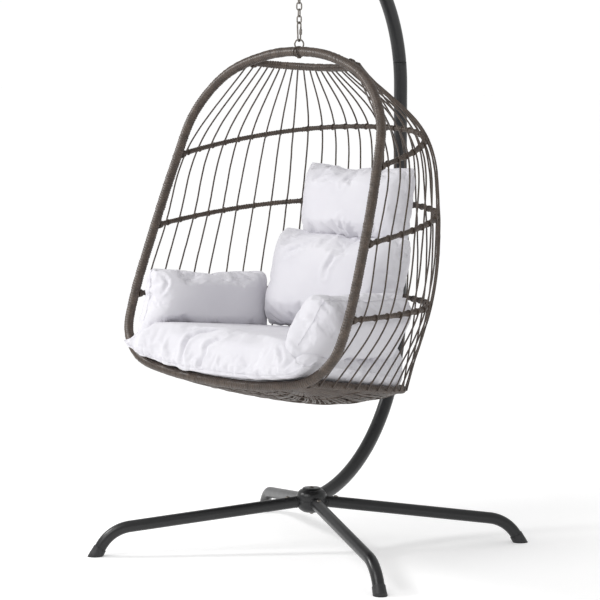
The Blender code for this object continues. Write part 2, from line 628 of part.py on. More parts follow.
def build_basket(frame, wicker, steel):
    rim_cutter_mesh = tube_mesh("rim_cutter", rim_line(2), RIM_RADIUS + GAP, 10, closed=True)
    rim_cutter = add_guide("rim_cutter", rim_cutter_mesh, frame)
    add_piece("front_rim", tube_mesh("front_rim", rim_line(2), RIM_RADIUS, 10, closed=True), wicker, frame)
    for name in HOOPS:
        points = evenly(hoop_line(name), 23)
        radius = END_HOOP_RADIUS if name in END_HOOPS else HOOP_RADIUS
        hoop = add_piece(name, tube_mesh(name, points, radius, 6), wicker, frame)
        combine(hoop, rim_cutter, "DIFFERENCE")
    for name, (upper, lower) in WALLS.items():
        wall = add_piece(name, wall_mesh(name, upper, lower, 22, 2), wicker, frame)
        make_thick(wall)
    seat = add_piece("seat_weave", sheet_mesh("seat_weave", seat_grid(14, 6)), wicker, frame)
    make_thick(seat)
    eye_at = Matrix.Translation((0, 0, RIM_TOP_Z + RIM_RADIUS + RIM_EYE_RISE - 2 * EYE_RING))
    eye_at = eye_at @ Matrix.Rotation(radians(RIM_EYE_TURN), 4, "Z")
    eye_mesh = tube_mesh("rim_eye", ring_points(EYE_RING), WIRE, 8, closed=True)
    eye = add_piece("rim_eye", eye_mesh, steel, frame, eye_at)
    combine(eye, rim_cutter, "DIFFERENCE")


def make_thick(piece):
    modifier = piece.modifiers.new("thickness", "SOLIDIFY")
    modifier.thickness = WALL_THICKNESS
    modifier.offset = 0


# --- Cushions -------------------------------------------------------------------------------
def rail_height(x):
    """Height of the front rail's upper side, a little way in from each of its ends."""
    for left, right in zip(FRONT_RAIL, FRONT_RAIL[1:]):
        if x <= right.x:
            break
    share = (x - left.x) / (right.x - left.x)
    return left.z + (right.z - left.z) * min(max(share, 0), 1) + RIM_RADIUS


def seat_height(x, y):
    """Height that the seat cushion rests on: the rail in front, the seat pan behind it."""
    rail, ring = HOOP_LINES[-1][0], HOOP_LINES[-1][len(HOOP_LINES[-1]) // 2]
    back = min(max((y - rail.y) / (ring.y - rail.y), 0), 1)
    across = x / rail.x
    front = rail_height(x)
    return front + (ring.z - front) * back - SEAT_SAG * (1 - across**2) * 4 * back * (1 - back)


def seat_cushion_mesh(columns=12, rows=12):
    """A puffed cushion with its outline inside the basket: crowned on top, resting on the seat pan."""
    bm = bmesh.new()
    layers = ([], [])
    length = SEAT_CUSHION_BACK - SEAT_CUSHION_FRONT
    for column in range(columns + 1):
        u = -cos(pi * column / columns)
        lines = ([], [])
        for row in range(rows + 1):
            v = -cos(pi * row / rows)
            y = SEAT_CUSHION_FRONT + length * (1 + v) / 2
            reach = ((1 + v) / 2) ** SEAT_NARROWING_POWER
            x = u * SEAT_CUSHION_HALF * (1 - SEAT_NARROWING * reach)
            puff = sqrt((1 - abs(u) ** 7) * (1 - abs(v) ** 9))
            top = SEAT_TOP_FRONT + (SEAT_TOP_BACK - SEAT_TOP_FRONT) * (1 + v) / 2
            low = seat_height(x, y) + WALL_THICKNESS + SEAT_CLEARANCE
            seam = low + (top - low) * SEAT_SEAM
            lines[0].append(bm.verts.new((x, y, seam - (seam - low) * puff)))
            lines[1].append(bm.verts.new((x, y, seam + (top - seam) * puff)))
        layers[0].append(lines[0])
        layers[1].append(lines[1])
    for layer in layers:
        for left, right in zip(layer, layer[1:]):
            for row in range(rows):
                bm.faces.new((left[row], right[row], right[row + 1], left[row + 1]))
    return mesh_from(bm, "seat_cushion")


def cushion_mesh(name, size):
    bm = bmesh.new()
    bmesh.ops.create_cube(bm, size=1)
    bmesh.ops.scale(bm, vec=size, verts=bm.verts)
    bmesh.ops.bevel(bm, geom=bm.edges[:], offset=CUSHION_ROUNDING, segments=3, profile=0.5, affect="EDGES")
    return mesh_from(bm, name)


def build_cushions(frame, fabric):
    seat = add_piece("seat_cushion", seat_cushion_mesh(), fabric, frame)
    clearance_mesh = tube_mesh("rim_clearance", rim_line(2), RIM_RADIUS + 0.002, 10, closed=True)
    combine(seat, add_guide("rim_clearance", clearance_mesh, frame), "DIFFERENCE")
    for name, (middle, size, tilt, turn) in CUSHIONS.items():
        place = Matrix.Translation(middle) @ Matrix.Rotation(radians(turn), 4, "Z")
        place = place @ Matrix.Rotation(radians(tilt), 4, "X")
        add_piece(name, cushion_mesh(name, size), fabric, frame, place)


clear_scene()
HOOP_LINES = [hoop_line(hoop) for hoop in HOOPS]
FRONT_RAIL = [p for p in rim_line(12) if p.z <= HOOP_LINES[-1][0].z + 1e-4]
FRONT_RAIL.sort(key=lambda p: p.x)

powder_coat = make_material("powder_coat", (0.035, 0.036, 0.038), 0.42, 0.3)
moulded_black = make_material("moulded_black", (0.02, 0.02, 0.02), 0.6)
grey_steel = make_material("grey_steel", (0.16, 0.15, 0.14), 0.35, 0.9)
wicker_brown = make_material("wicker_brown", (0.13, 0.10, 0.08), 0.55)
white_fabric = make_material("white_fabric", (0.80, 0.79, 0.84), 0.9)

stand = make_frame("stand_frame", (HUB_X, HUB_Y, 0))
build_stand(stand, powder_coat, moulded_black, grey_steel)
basket = build_hanger(grey_steel, stand)
build_basket(basket, wicker_brown, grey_steel)
build_cushions(basket, white_fabric)
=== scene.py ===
"""The looks of the hanging egg chair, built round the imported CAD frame.

Metres, +Z up. Smooth tubes, wound wicker, woven strands and forged links replace the plain CAD
solids, and each cushion is a cloth simulation. Lengths along the chair are in its own frame,
which turns about the hanging axis.
"""
from math import acos, asin, atan2, cos, degrees, pi, radians, sin, sqrt, tan

import bmesh
import bpy
import numpy as np
from mathutils import Matrix, Vector
from mathutils.bvhtree import BVHTree


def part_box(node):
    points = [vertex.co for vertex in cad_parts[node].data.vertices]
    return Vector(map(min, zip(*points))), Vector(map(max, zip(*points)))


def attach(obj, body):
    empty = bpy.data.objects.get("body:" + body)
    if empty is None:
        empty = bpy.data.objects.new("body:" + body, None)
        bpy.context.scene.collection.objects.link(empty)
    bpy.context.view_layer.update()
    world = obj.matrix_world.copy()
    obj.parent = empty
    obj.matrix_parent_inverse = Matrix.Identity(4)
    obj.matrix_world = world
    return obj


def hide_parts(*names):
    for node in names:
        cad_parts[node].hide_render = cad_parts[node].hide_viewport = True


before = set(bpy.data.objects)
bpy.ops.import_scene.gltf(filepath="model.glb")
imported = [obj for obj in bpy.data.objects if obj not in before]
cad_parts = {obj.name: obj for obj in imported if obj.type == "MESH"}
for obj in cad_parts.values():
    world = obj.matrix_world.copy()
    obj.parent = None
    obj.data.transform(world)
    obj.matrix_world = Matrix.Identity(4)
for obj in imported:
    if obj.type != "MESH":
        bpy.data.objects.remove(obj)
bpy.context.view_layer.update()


def middle(node):
    low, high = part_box(node)
    return (low + high) / 2


# --- Driving dimensions, as in the CAD model, and places read from the frame -----------------
HUB = middle("hub_bolt")
HANG = middle("rim_eye")
HUB_Z = 0.163
HUB_RADIUS, HUB_TOP, HUB_BOTTOM = 0.048, 0.036, -0.037
LEG_RADIUS, LEG_REACH = 0.0185, 0.6846       # reach: hub axis to the middle of a foot
LEG_BEND, LEG_SPLAY = 0.122, 30.0            # splay: how far a leg's end leans out from upright
FOOT_RADIUS, FOOT_LENGTH = 0.0218, 0.030
LEG_DROOPS = {"front_left": 7.0, "front_right": 7.0, "rear_left": 7.8, "rear_right": 7.8}
POLE_RADIUS = 0.022
POLE_START_Z, POLE_LOW_BEND = 0.166, 0.552
POLE_Y, POLE_UPRIGHT_TOP, POLE_TOP_BEND = 0.5425, 1.456, 0.465
POLE_SPLIT_ANGLE = 10.0
POLE_END_PAST_EYE = 0.045
SCREW_HEAD, SCREW_RISE, SCREW_SOCKET = 0.0070, 0.0034, 0.0022
NUT_CORNER = 0.0085
TUBE_BEAD = 0.0013           # radius of the weld bead where a leg enters the hub
WIRE, EYE_RING = 0.0025, 0.0142
CHAIN_WIRE, CHAIN_WIDTH, LINK_COUNT = 0.00225, 0.0148, 6
LINK_TURNS = (16, 118, 44, 121, 20, 90)
QUICK_LINK_NARROW, QUICK_LINK_WIDE = 0.0140, 0.0190
LOWER_LINK_TURN, RIM_EYE_TURN = 105.0, 31.0

CHAIR_TURN = -16.0
RIM_TOP_Z, RIM_TILT, RIM_LENGTH, RIM_RADIUS, RIM_BOW = 1.575, 18.5, 1.049, 0.015, 0.006
RIM_OUTLINE = (
    (0.0, 0.0), (0.22, 0.007), (0.405, 0.040), (0.487, 0.110), (0.506, 0.210), (0.498, 0.400),
    (0.472, 0.640), (0.437, 0.800), (0.330, 0.920), (0.165, 0.983), (0.0, 1.0))
HOOPS = {                    # share of rim length, depth, rise to the back, fullness, radius
    "top_arc": (0.966, 0.134, -7.5, 2.0, 0.012),
    "hoop_upper": (0.664, 0.444, 12.2, 2.2, 0.008),
    "hoop_middle": (0.440, 0.535, 8.3, 2.6, 0.008),
    "hoop_lower": (0.224, 0.605, -0.4, 2.3, 0.008),
    "base_ring": (0.034, 0.646, -9.1, 2.3, 0.012),
}
SEAT_SAG = 0.050

# Wicker
STRAND = 0.0029              # radius of a strand
STRAND_COUNT = 31
WRAP = 0.0021                # radius of the thinner strand wrapped round a crossing
WIND_PITCH = 0.0080          # from one turn of the winding to the next
WIND_RISE = 0.0024           # how far a turn stands proud of the valley beside it
CHORD_COUNT = 62             # strands that cross under the seat
FAN_COUNT = 30               # strands that run from the base ring to the front rim

# Cushions, in the chair's frame
CLOTH_FRAMES = 22
SEAT_TOP_FRONT, SEAT_TOP_BACK = 0.727, 0.671
SEAT_FRONT, SEAT_BACK, SEAT_HALF = -0.373, 0.268, 0.436
SEAT_NARROWING = 0.56        # how much of its width the seat pad loses towards the back
ARMS = (                     # side, node, middle, outward lean, half height
    (1, "arm_cushion_left", (0.352, -0.102, 0.758), 27, 0.100),
    (-1, "arm_cushion_right", (-0.374, -0.072, 0.771), 8, 0.108))
ARM_SLANT = 0.026            # how far the top of an arm cushion's front end leans back
CORD_RADIUS = 0.0014         # the sewn cord along each seam
# Creases: a path along the cover, how deep the fold is and how wide
CREASES = {
    "seat_cushion": (
        (((-0.005, -0.27, 0.742), (-0.085, -0.32, 0.742), (-0.130, -0.358, 0.728), (-0.137, -0.382, 0.69),
          (-0.135, -0.388, 0.645), (-0.105, -0.382, 0.610)), 0.016, 0.0065),
        (((0.025, -0.33, 0.742), (-0.015, -0.368, 0.728), (-0.041, -0.386, 0.69), (-0.049, -0.388, 0.645),
          (-0.025, -0.380, 0.612)), 0.013, 0.006),
        (((-0.40, -0.375, 0.665), (-0.20, -0.386, 0.655), (-0.07, -0.388, 0.652)), 0.003, 0.004),
        (((0.05, -0.388, 0.66), (0.20, -0.388, 0.655), (0.38, -0.375, 0.66)), 0.003, 0.004),
        (((0.30, -0.36, 0.735), (0.335, -0.38, 0.70), (0.33, -0.384, 0.655)), 0.009, 0.005),
        (((-0.33, -0.34, 0.742), (-0.36, -0.37, 0.715), (-0.365, -0.382, 0.67)), 0.006, 0.006)),
    "back_cushion": (
        (((0.105, 0.135, 1.005), (0.085, 0.085, 0.965), (0.055, 0.062, 0.915), (0.048, 0.058, 0.875)),
         0.010, 0.007),
        (((-0.04, 0.12, 1.005), (-0.10, 0.08, 0.965), (-0.17, 0.07, 0.93)), 0.006, 0.007)),
    "head_cushion": (
        (((-0.02, 0.20, 1.225), (-0.05, 0.158, 1.195), (-0.10, 0.155, 1.170)), 0.006, 0.006),
        (((0.06, 0.20, 1.225), (0.03, 0.158, 1.190), (0.02, 0.150, 1.155)), 0.007, 0.006),
        (((0.03, 0.18, 0.998), (0.02, 0.150, 1.020), (0.03, 0.145, 1.060)), 0.007, 0.006)),
    "arm_cushion_right": (
        (((-0.35, -0.06, 0.885), (-0.315, -0.05, 0.86), (-0.295, -0.03, 0.83)), 0.007, 0.006),
        (((-0.37, -0.26, 0.875), (-0.345, -0.25, 0.85), (-0.350, -0.27, 0.82)), 0.007, 0.005)),
    "arm_cushion_left": (
        (((0.35, -0.06, 0.885), (0.315, -0.05, 0.86), (0.295, -0.03, 0.83)), 0.007, 0.006),
        (((0.36, -0.27, 0.875), (0.335, -0.26, 0.84), (0.330, -0.27, 0.79)), 0.005, 0.005)),
}

# Light
WORLD_STRENGTH = 0.60        # of the sky overhead. Near the horizon it is 1
KEY_STRENGTH = 0.88
FLOOR_GLOW = 0.29            # keeps the pale floor even where the light falls off

CHAIR = Matrix.Translation((HANG.x, HANG.y, 0)) @ Matrix.Rotation(radians(CHAIR_TURN), 4, "Z")
STAND = Matrix.Translation((HUB.x, HUB.y, 0))
RNG = np.random.default_rng(7)


# --- Lines ------------------------------------------------------------------------------------
def arc(centre, radius, start, end, steps):
    """Points in a plane along an arc, angles in degrees."""
    angles = np.radians(np.linspace(start, end, steps + 1))
    return [(centre[0] + radius * cos(a), centre[1] + radius * sin(a)) for a in angles]


def spline_through(points, steps, closed=False):
    """A centripetal Catmull-Rom curve through the points, with some steps in each span."""
    if closed:
        padded = [points[-1], *points, points[0], points[1]]
    else:
        padded = [2 * points[0] - points[1], *points, 2 * points[-1] - points[-2]]
    curve = []
    for index in range(1, len(padded) - 2):
        a, b, c, d = padded[index - 1:index + 3]
        ab, bc, cd = (sqrt((q - p).length) for p, q in ((a, b), (b, c), (c, d)))
        out_b = b + ((c - b) - (c - a) * bc / (ab + bc) + (b - a) * bc / ab) / 3
        in_c = c - ((c - b) - (d - b) * bc / (bc + cd) + (d - c) * bc / cd) / 3
        for step in range(steps):
            t = step / steps
            u = 1 - t
            curve.append(u**3 * b + 3 * u * u * t * out_b + 3 * u * t * t * in_c + t**3 * c)
    return curve if closed else [*curve, points[-1]]


def run_along(line, closed=False):
    """The line's points as an array, and the distance along it to each of them."""
    points = np.array([tuple(p) for p in line], float)
    if closed:
        points = np.vstack([points, points[:1]])
    return points, np.concatenate([[0], np.cumsum(np.linalg.norm(np.diff(points, axis=0), axis=1))])


def evenly(line, count, closed=False):
    """The line resampled at even distances, as an array of points."""
    points, run = run_along(line, closed)
    at = np.linspace(0, run[-1], count + 1)[:-1] if closed else np.linspace(0, run[-1], count)
    return np.stack([np.interp(at, run, points[:, k]) for k in range(3)], 1)


def line_length(line, closed=False):
    return float(run_along(line, closed)[1][-1])


def at_share(line, share):
    points, run = run_along(line)
    return Vector([float(np.interp(share * run[-1], run, points[:, k])) for k in range(3)])


def unit(vectors):
    return vectors / np.maximum(np.linalg.norm(vectors, axis=-1, keepdims=True), 1e-12)


def carried_frames(path, closed):
    """Two normals at each point of a path, carried along it without twist."""
    if closed:
        tangents = unit(np.roll(path, -1, 0) - np.roll(path, 1, 0))
    else:
        tangents = unit(np.gradient(path, axis=0))
    start = np.cross(tangents[0], (0, 0, 1))
    if np.linalg.norm(start) < 0.2:
        start = np.cross(tangents[0], (1, 0, 0))
    normals = np.zeros_like(path)
    normals[0] = unit(start)
    for i in range(1, len(path)):
        carried = normals[i - 1] - tangents[i] * (normals[i - 1] @ tangents[i])
        normals[i] = carried / np.linalg.norm(carried)
    binormals = np.cross(tangents, normals)
    if closed:
        last = normals[-1] - tangents[0] * (normals[-1] @ tangents[0])
        twist = atan2(last @ binormals[0], last @ normals[0])
        angle = -twist * np.arange(len(path))[:, None] / len(path)
        turned = normals * np.cos(angle) + binormals * np.sin(angle)
        binormals = np.cross(tangents, turned)
        normals = turned
    return normals, binormals


# --- Meshes -----------------------------------------------------------------------------------
def object_from(name, verts, faces, sharp=40):
    mesh = bpy.data.meshes.new(name)
    mesh.from_pydata([tuple(v) for v in verts], [], faces)
    mesh.update()
    return shown(name, mesh, sharp)


def shown(name, mesh, sharp=40):
    piece = bpy.data.objects.new(name, mesh)
    bpy.context.scene.collection.objects.link(piece)
    mesh.shade_smooth()
    if sharp:
        mesh.set_sharp_from_angle(angle=radians(sharp))
    return piece


def sweep_data(path, radius, sides, closed=False, caps=True, start=0):
    """Vertices and faces of a tube. The radius is a number, one per point, or one per vertex."""
    path = np.asarray(path, float)
    normals, binormals = carried_frames(path, closed)
    angles = np.arange(sides) * 2 * pi / sides
    radii = np.broadcast_to(np.asarray(radius, float).reshape(-1, 1) if np.ndim(radius) < 2 else radius,
                            (len(path), sides))
    ring = (np.cos(angles)[None, :, None] * normals[:, None, :]
            + np.sin(angles)[None, :, None] * binormals[:, None, :])
    verts = (path[:, None, :] + radii[:, :, None] * ring).reshape(-1, 3)
    rows = len(path) if closed else len(path) - 1
    i, j = np.meshgrid(np.arange(rows), np.arange(sides), indexing="ij")
    after_i, after_j = (i + 1) % len(path), (j + 1) % sides
    quads = np.stack([i * sides + j, i * sides + after_j,
                      after_i * sides + after_j, after_i * sides + j], -1)
    faces = (quads.reshape(-1, 4) + start).tolist()
    if caps and not closed:
        last = (len(path) - 1) * sides
        faces.append([start + k for k in range(sides - 1, -1, -1)])
        faces.append([start + last + k for k in range(sides)])
    return verts, faces


def tube(name, path, radius, sides, closed=False, caps=True, sharp=40):
    verts, faces = sweep_data(path, radius, sides, closed, caps)
    return object_from(name, verts, faces, sharp)


def tubes(name, parts, sharp=40):
    """Several tubes in one object. Each part is (path, radius, sides, closed)."""
    all_verts, all_faces, count = [], [], 0
    for path, radius, sides, closed in parts:
        verts, faces = sweep_data(path, radius, sides, closed, True, count)
        all_verts.append(verts)
        all_faces.extend(faces)
        count += len(verts)
    return object_from(name, np.vstack(all_verts), all_faces, sharp)


def turned(name, profile, segments, sharp=40):
    """A body turned about Z from (radius, height) points."""
    bm = bmesh.new()
    verts = [bm.verts.new((r, 0, z)) for r, z in profile]
    edges = [bm.edges.new(pair) for pair in zip(verts, verts[1:])]
    bmesh.ops.spin(bm, geom=verts + edges, axis=(0, 0, 1), cent=(0, 0, 0), angle=2 * pi, steps=segments)
    bmesh.ops.remove_doubles(bm, verts=bm.verts, dist=1e-6)
    bmesh.ops.recalc_face_normals(bm, faces=bm.faces)
    mesh = bpy.data.meshes.new(name)
    bm.to_mesh(mesh)
    bm.free()
    return shown(name, mesh, sharp)


def place(piece, matrix):
    """Moves the piece by moving its vertices, so that its own frame stays the world's."""
    piece.data.transform(matrix)
    return piece


def along(direction):
    return Vector(direction).to_track_quat("Z", "Y").to_matrix().to_4x4()


def finish_piece(piece, matrix, body, slot, *nodes):
    """Puts a piece in its place, on a body, in a finish. It stands for the CAD nodes named."""
    place(piece, matrix)
    piece.data.materials.clear()
    piece.data.materials.append(MATERIALS[slot])
    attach(piece, body)
    if nodes:
        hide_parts(*nodes)


# --- Materials --------------------------------------------------------------------------------
class Nodes:
    """A short way to write a material's node tree."""

    def __init__(self, name, roughness, metallic=0.0):
        self.material = bpy.data.materials.new(name)
        self.material.use_nodes = True
        self.tree = self.material.node_tree
        self.shader = self.tree.nodes["Principled BSDF"]
        self.shader.inputs["Roughness"].default_value = roughness
        self.shader.inputs["Metallic"].default_value = metallic
        self.coords = self.tree.nodes.new("ShaderNodeTexCoord").outputs["Object"]

    def add(self, kind, values=None, links=None):
        node = self.tree.nodes.new(kind)
        for key, value in (values or {}).items():
            node.inputs[key].default_value = value
        for key, socket in (links or {}).items():
            self.tree.links.new(socket, node.inputs[key])
        return node

    def noise(self, scale, detail=2.0, rough=0.5, coords=None):
        values = {"Scale": scale, "Detail": detail, "Roughness": rough}
        return self.add("ShaderNodeTexNoise", values, {"Vector": coords or self.coords}).outputs["Fac"]

    def stretched(self, scale):
        mapping = self.add("ShaderNodeMapping", None, {"Vector": self.coords})
        mapping.inputs["Scale"].default_value = scale
        return mapping.outputs["Vector"]

    def ramp(self, factor, stops):
        node = self.add("ShaderNodeValToRGB", None, {"Fac": factor})
        elements = node.color_ramp.elements
        while len(elements) < len(stops):
            elements.new(0.5)
        for element, (position, colour) in zip(elements, stops):
            element.position = position
            element.color = (*colour, 1)
        return node.outputs["Color"]

    def math(self, operation, first, second):
        node = self.tree.nodes.new("ShaderNodeMath")
        node.operation = operation
        for socket, value in zip(node.inputs, (first, second)):
            if isinstance(value, (int, float)):
                socket.default_value = value
            else:
                self.tree.links.new(value, socket)
        return node.outputs["Value"]

    def colour(self, socket):
        self.tree.links.new(socket, self.shader.inputs["Base Color"])

    def roughness(self, socket):
        self.tree.links.new(socket, self.shader.inputs["Roughness"])

    def bump(self, height, distance, strength=1.0):
        values = {"Distance": distance, "Strength": strength}
        node = self.add("ShaderNodeBump", values, {"Height": height})
        self.tree.links.new(node.outputs["Normal"], self.shader.inputs["Normal"])


def powder_coat_material():
    m = Nodes("powder_coat", 0.30)
    m.shader.inputs["Specular IOR Level"].default_value = 0.5
    m.colour(m.ramp(m.noise(260, 3), ((0.35, (0.007, 0.0073, 0.008)), (0.7, (0.012, 0.0124, 0.0135)))))
    m.roughness(m.math("ADD", m.math("MULTIPLY", m.noise(38, 4), 0.10), 0.27))
    m.bump(m.noise(1300, 2), 0.00012, 0.5)
    return m.material


def plastic_material():
    m = Nodes("moulded_black", 0.5)
    m.colour(m.ramp(m.noise(120, 3), ((0.3, (0.012, 0.012, 0.013)), (0.75, (0.026, 0.026, 0.028)))))
    m.bump(m.noise(1800, 2), 0.0001, 0.5)
    return m.material


def steel_material():
    m = Nodes("grey_steel", 0.38, 0.85)
    m.colour(m.ramp(m.noise(170, 4, 0.6), ((0.3, (0.13, 0.115, 0.10)), (0.55, (0.24, 0.22, 0.20)),
                                           (0.8, (0.36, 0.34, 0.31)))))
    m.bump(m.noise(700, 3), 0.0001, 0.4)
    return m.material


def wicker_material():
    m = Nodes("brown_wicker", 0.40)
    m.shader.inputs["Specular IOR Level"].default_value = 0.6
    streaks = m.noise(520, 3, 0.6)
    patches = m.noise(45, 1)
    mixed = m.math("ADD", m.math("MULTIPLY", streaks, 0.78), m.math("MULTIPLY", patches, 0.22))
    m.colour(m.ramp(mixed, ((0.34, (0.015, 0.010, 0.0065)), (0.50, (0.050, 0.0325, 0.0225)),
                            (0.68, (0.140, 0.102, 0.075)))))
    m.bump(m.noise(2200, 3, 0.65), 0.00015, 0.6)
    return m.material


def fabric_material():
    m = Nodes("white_fabric", 0.92)
    m.shader.inputs["Sheen Weight"].default_value = 0.15
    m.shader.inputs["Sheen Roughness"].default_value = 0.5
    m.shader.inputs["Specular IOR Level"].default_value = 0.25
    m.colour(m.ramp(m.noise(9, 3), ((0.35, (0.675, 0.665, 0.705)), (0.70, (0.715, 0.706, 0.742)))))
    threads = None
    for axis in range(3):
        wave = m.add("ShaderNodeTexWave", {"Scale": 210.0, "Distortion": 1.2, "Detail": 1.0},
                     {"Vector": m.coords})
        wave.bands_direction = "XYZ"[axis]
        value = wave.outputs["Fac"]
        threads = value if threads is None else m.math("ADD", threads, value)
    slubs = m.noise(520, 2)
    m.bump(m.math("ADD", threads, slubs), 0.00022, 0.5)
    return m.material


# --- Stand ------------------------------------------------------------------------------------
def build_hub():
    bore, shoulder, belly = 0.0053, 0.026, 0.030
    groove = HUB_RADIUS - 0.0007
    profile = [(bore, HUB_TOP), (0.0200, HUB_TOP),
               *arc((HUB_RADIUS - shoulder, HUB_TOP - shoulder), shoulder, 90, 0, 24),
               (HUB_RADIUS, 0.002), (groove, 0.0012), (groove, -0.0002), (HUB_RADIUS, -0.001),
               *arc((HUB_RADIUS - belly, -0.008), belly, 0, -62, 16), (0.030, HUB_BOTTOM + 0.0012),
               (0.0285, HUB_BOTTOM), (bore, HUB_BOTTOM)]
    hub = turned("cast_hub", profile, 96)
    finish_piece(hub, STAND @ Matrix.Translation((0, 0, HUB_Z)), "stand", "powder_coat", "base_hub")
    low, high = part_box("hub_cap")
    profile = [(0.0, high.z - 0.0004), (0.0250, high.z), (0.0268, high.z - 0.0003),
               (0.0282, high.z - 0.0012), (0.0290, low.z + 0.0002), (0.0285, low.z), (0.0, low.z)]
    plate = turned("hub_plate", profile, 72)
    finish_piece(plate, STAND, "stand", "powder_coat", "hub_cap")
    low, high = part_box("hub_bolt")
    bolt = dome_bolt("hub_through_bolt", high.z - 0.0030, 0.0080, 0.0032)
    finish_piece(bolt, STAND, "stand", "grey_steel", "hub_bolt")
    profile = [(0, low.z), (0.0040, low.z), (0.0048, low.z + 0.0008), (0.0048, low.z + 0.02),
               (0, low.z + 0.02)]
    end = turned("hub_bolt_end", profile, 32)
    finish_piece(end, STAND, "stand", "grey_steel")
    low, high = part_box("hub_nut")
    nut = hex_nut("hub_lock_nut", NUT_CORNER, 0.0050, high.z - low.z)
    finish_piece(nut, STAND @ Matrix.Translation((0, 0, low.z)), "stand", "grey_steel", "hub_nut")


def dome_bolt(name, base, radius, rise):
    """A button-head bolt with a six-sided socket, its head from base upwards on Z."""
    dome = [(radius * sin(a), base + 0.0004 + rise * cos(a)) for a in np.radians(np.linspace(28, 90, 12))]
    floor = base + rise * 0.35
    profile = [(0, floor), (SCREW_SOCKET, floor), (SCREW_SOCKET, base + rise * 0.86),
               *dome, (radius, base), (0, base)]
    return turned(name, profile, 48)


def hex_nut(name, corner, bore, height):
    """A six-sided nut with turned corners, from z = 0 up."""
    sides, bevel = 48, 0.0006
    apothem = corner * cos(pi / 6)
    angles = [2 * pi * k / sides for k in range(sides)]
    flats = [apothem / cos((a + pi / 6) % (pi / 3) - pi / 6) for a in angles]
    turned_off = [min(flat, apothem * 1.02) for flat in flats]
    bores = [bore] * sides
    rows = ((0, turned_off), (bevel, flats), (height - bevel, flats), (height, turned_off),
            (height, bores), (0, bores))
    verts = [(radius * cos(a), radius * sin(a), z) for z, radii in rows for radius, a in zip(radii, angles)]
    faces = [(i * sides + k, i * sides + (k + 1) % sides, (i + 1) % len(rows) * sides + (k + 1) % sides,
              (i + 1) % len(rows) * sides + k) for i in range(len(rows)) for k in range(sides)]
    return object_from(name, verts, faces, 30)


def leg_path(droop):
    """Middle line of a leg from inside the hub to inside its foot, in the XZ plane."""
    start, tip = HUB_RADIUS - 0.006, 0.014
    slope, splay = radians(droop), radians(LEG_SPLAY)
    corner_z = (HUB_Z - tan(slope) * LEG_REACH) / (1 - tan(slope) * tan(splay))
    corner_x = LEG_REACH - corner_z * tan(splay)
    tangent = LEG_BEND * tan((pi / 2 - slope - splay) / 2)
    centre = (corner_x - tangent * cos(slope) - LEG_BEND * sin(slope),
              corner_z + tangent * sin(slope) - LEG_BEND * cos(slope))
    points = [(start, HUB_Z - start * tan(slope)), *arc(centre, LEG_BEND, 90 - droop, LEG_SPLAY, 28),
              (LEG_REACH - tip * sin(splay), tip * cos(splay))]
    return [Vector((x, 0, z)) for x, z in points]


def build_legs():
    for name, droop in LEG_DROOPS.items():
        bolt_at = middle(f"leg_bolt_{name}") - HUB
        turn = STAND @ Matrix.Rotation(atan2(bolt_at.y, bolt_at.x), 4, "Z")
        path = leg_path(droop)
        leg = tube(f"leg_tube_{name}", path, LEG_RADIUS, 48)
        finish_piece(leg, turn, "stand", "powder_coat", f"leg_{name}")
        run = (path[1] - path[0]).normalized()
        fall = tan(radians(droop))
        seat = Vector((HUB_RADIUS + 0.002, 0, HUB_Z - (HUB_RADIUS + 0.002) * fall))
        bead = tube(f"leg_socket_{name}", ring_round(seat, run, LEG_RADIUS + 0.0003), TUBE_BEAD, 8,
                    closed=True)
        finish_piece(bead, turn, "stand", "powder_coat")
        bolt = dome_bolt(f"leg_screw_{name}", LEG_RADIUS, SCREW_HEAD, SCREW_RISE)
        at = Vector((HUB_RADIUS - 0.012, 0, HUB_Z - (HUB_RADIUS - 0.012) * fall)) + run * 0.040
        at = turn @ Matrix.Translation(at) @ along((-run.z, 0, run.x))
        finish_piece(bolt, at, "stand", "grey_steel", f"leg_bolt_{name}")
        build_foot(name, turn @ Matrix.Translation((LEG_REACH, 0, 0)))


def ring_round(centre, axis, radius, lean=0.0, steps=48):
    """One turn round an axis, leaning a little along it."""
    across = axis.orthogonal().normalized()
    other = axis.cross(across)
    return np.array([tuple(centre + (across * cos(a) + other * sin(a)) * radius + axis * lean * cos(a))
                     for a in np.linspace(0, 2 * pi, steps + 1)[:-1]])


def build_foot(name, at):
    """A moulded cap on the leaning end of a leg: a flat sole, a flared cup and a rounded lip."""
    bore, length = LEG_RADIUS + 0.0002, FOOT_LENGTH
    profile = [(0, -FOOT_RADIUS), (FOOT_RADIUS, -FOOT_RADIUS), (FOOT_RADIUS, 0.006),
               (FOOT_RADIUS - 0.0006, 0.0085), (FOOT_RADIUS - 0.0011, length - 0.002),
               *arc((FOOT_RADIUS - 0.0022, length - 0.0010), 0.0010, 10, 120, 5),
               (bore, length - 0.0004), (bore, length - 0.004), (0, length - 0.004)]
    foot = turned(f"foot_cap_{name}", profile, 72)
    place(foot, Matrix.Rotation(radians(-LEG_SPLAY), 4, "Y"))
    bm = bmesh.new()
    bm.from_mesh(foot.data)
    cut = bmesh.ops.bisect_plane(bm, geom=bm.verts[:] + bm.edges[:] + bm.faces[:], plane_co=(0, 0, 0.0002),
                                 plane_no=(0, 0, 1), clear_inner=True)
    edges = [e for e in cut["geom_cut"] if isinstance(e, bmesh.types.BMEdge)]
    bmesh.ops.contextual_create(bm, geom=edges)
    bm.to_mesh(foot.data)
    bm.free()
    finish_piece(foot, at, "stand", "moulded_black", f"foot_{name}")


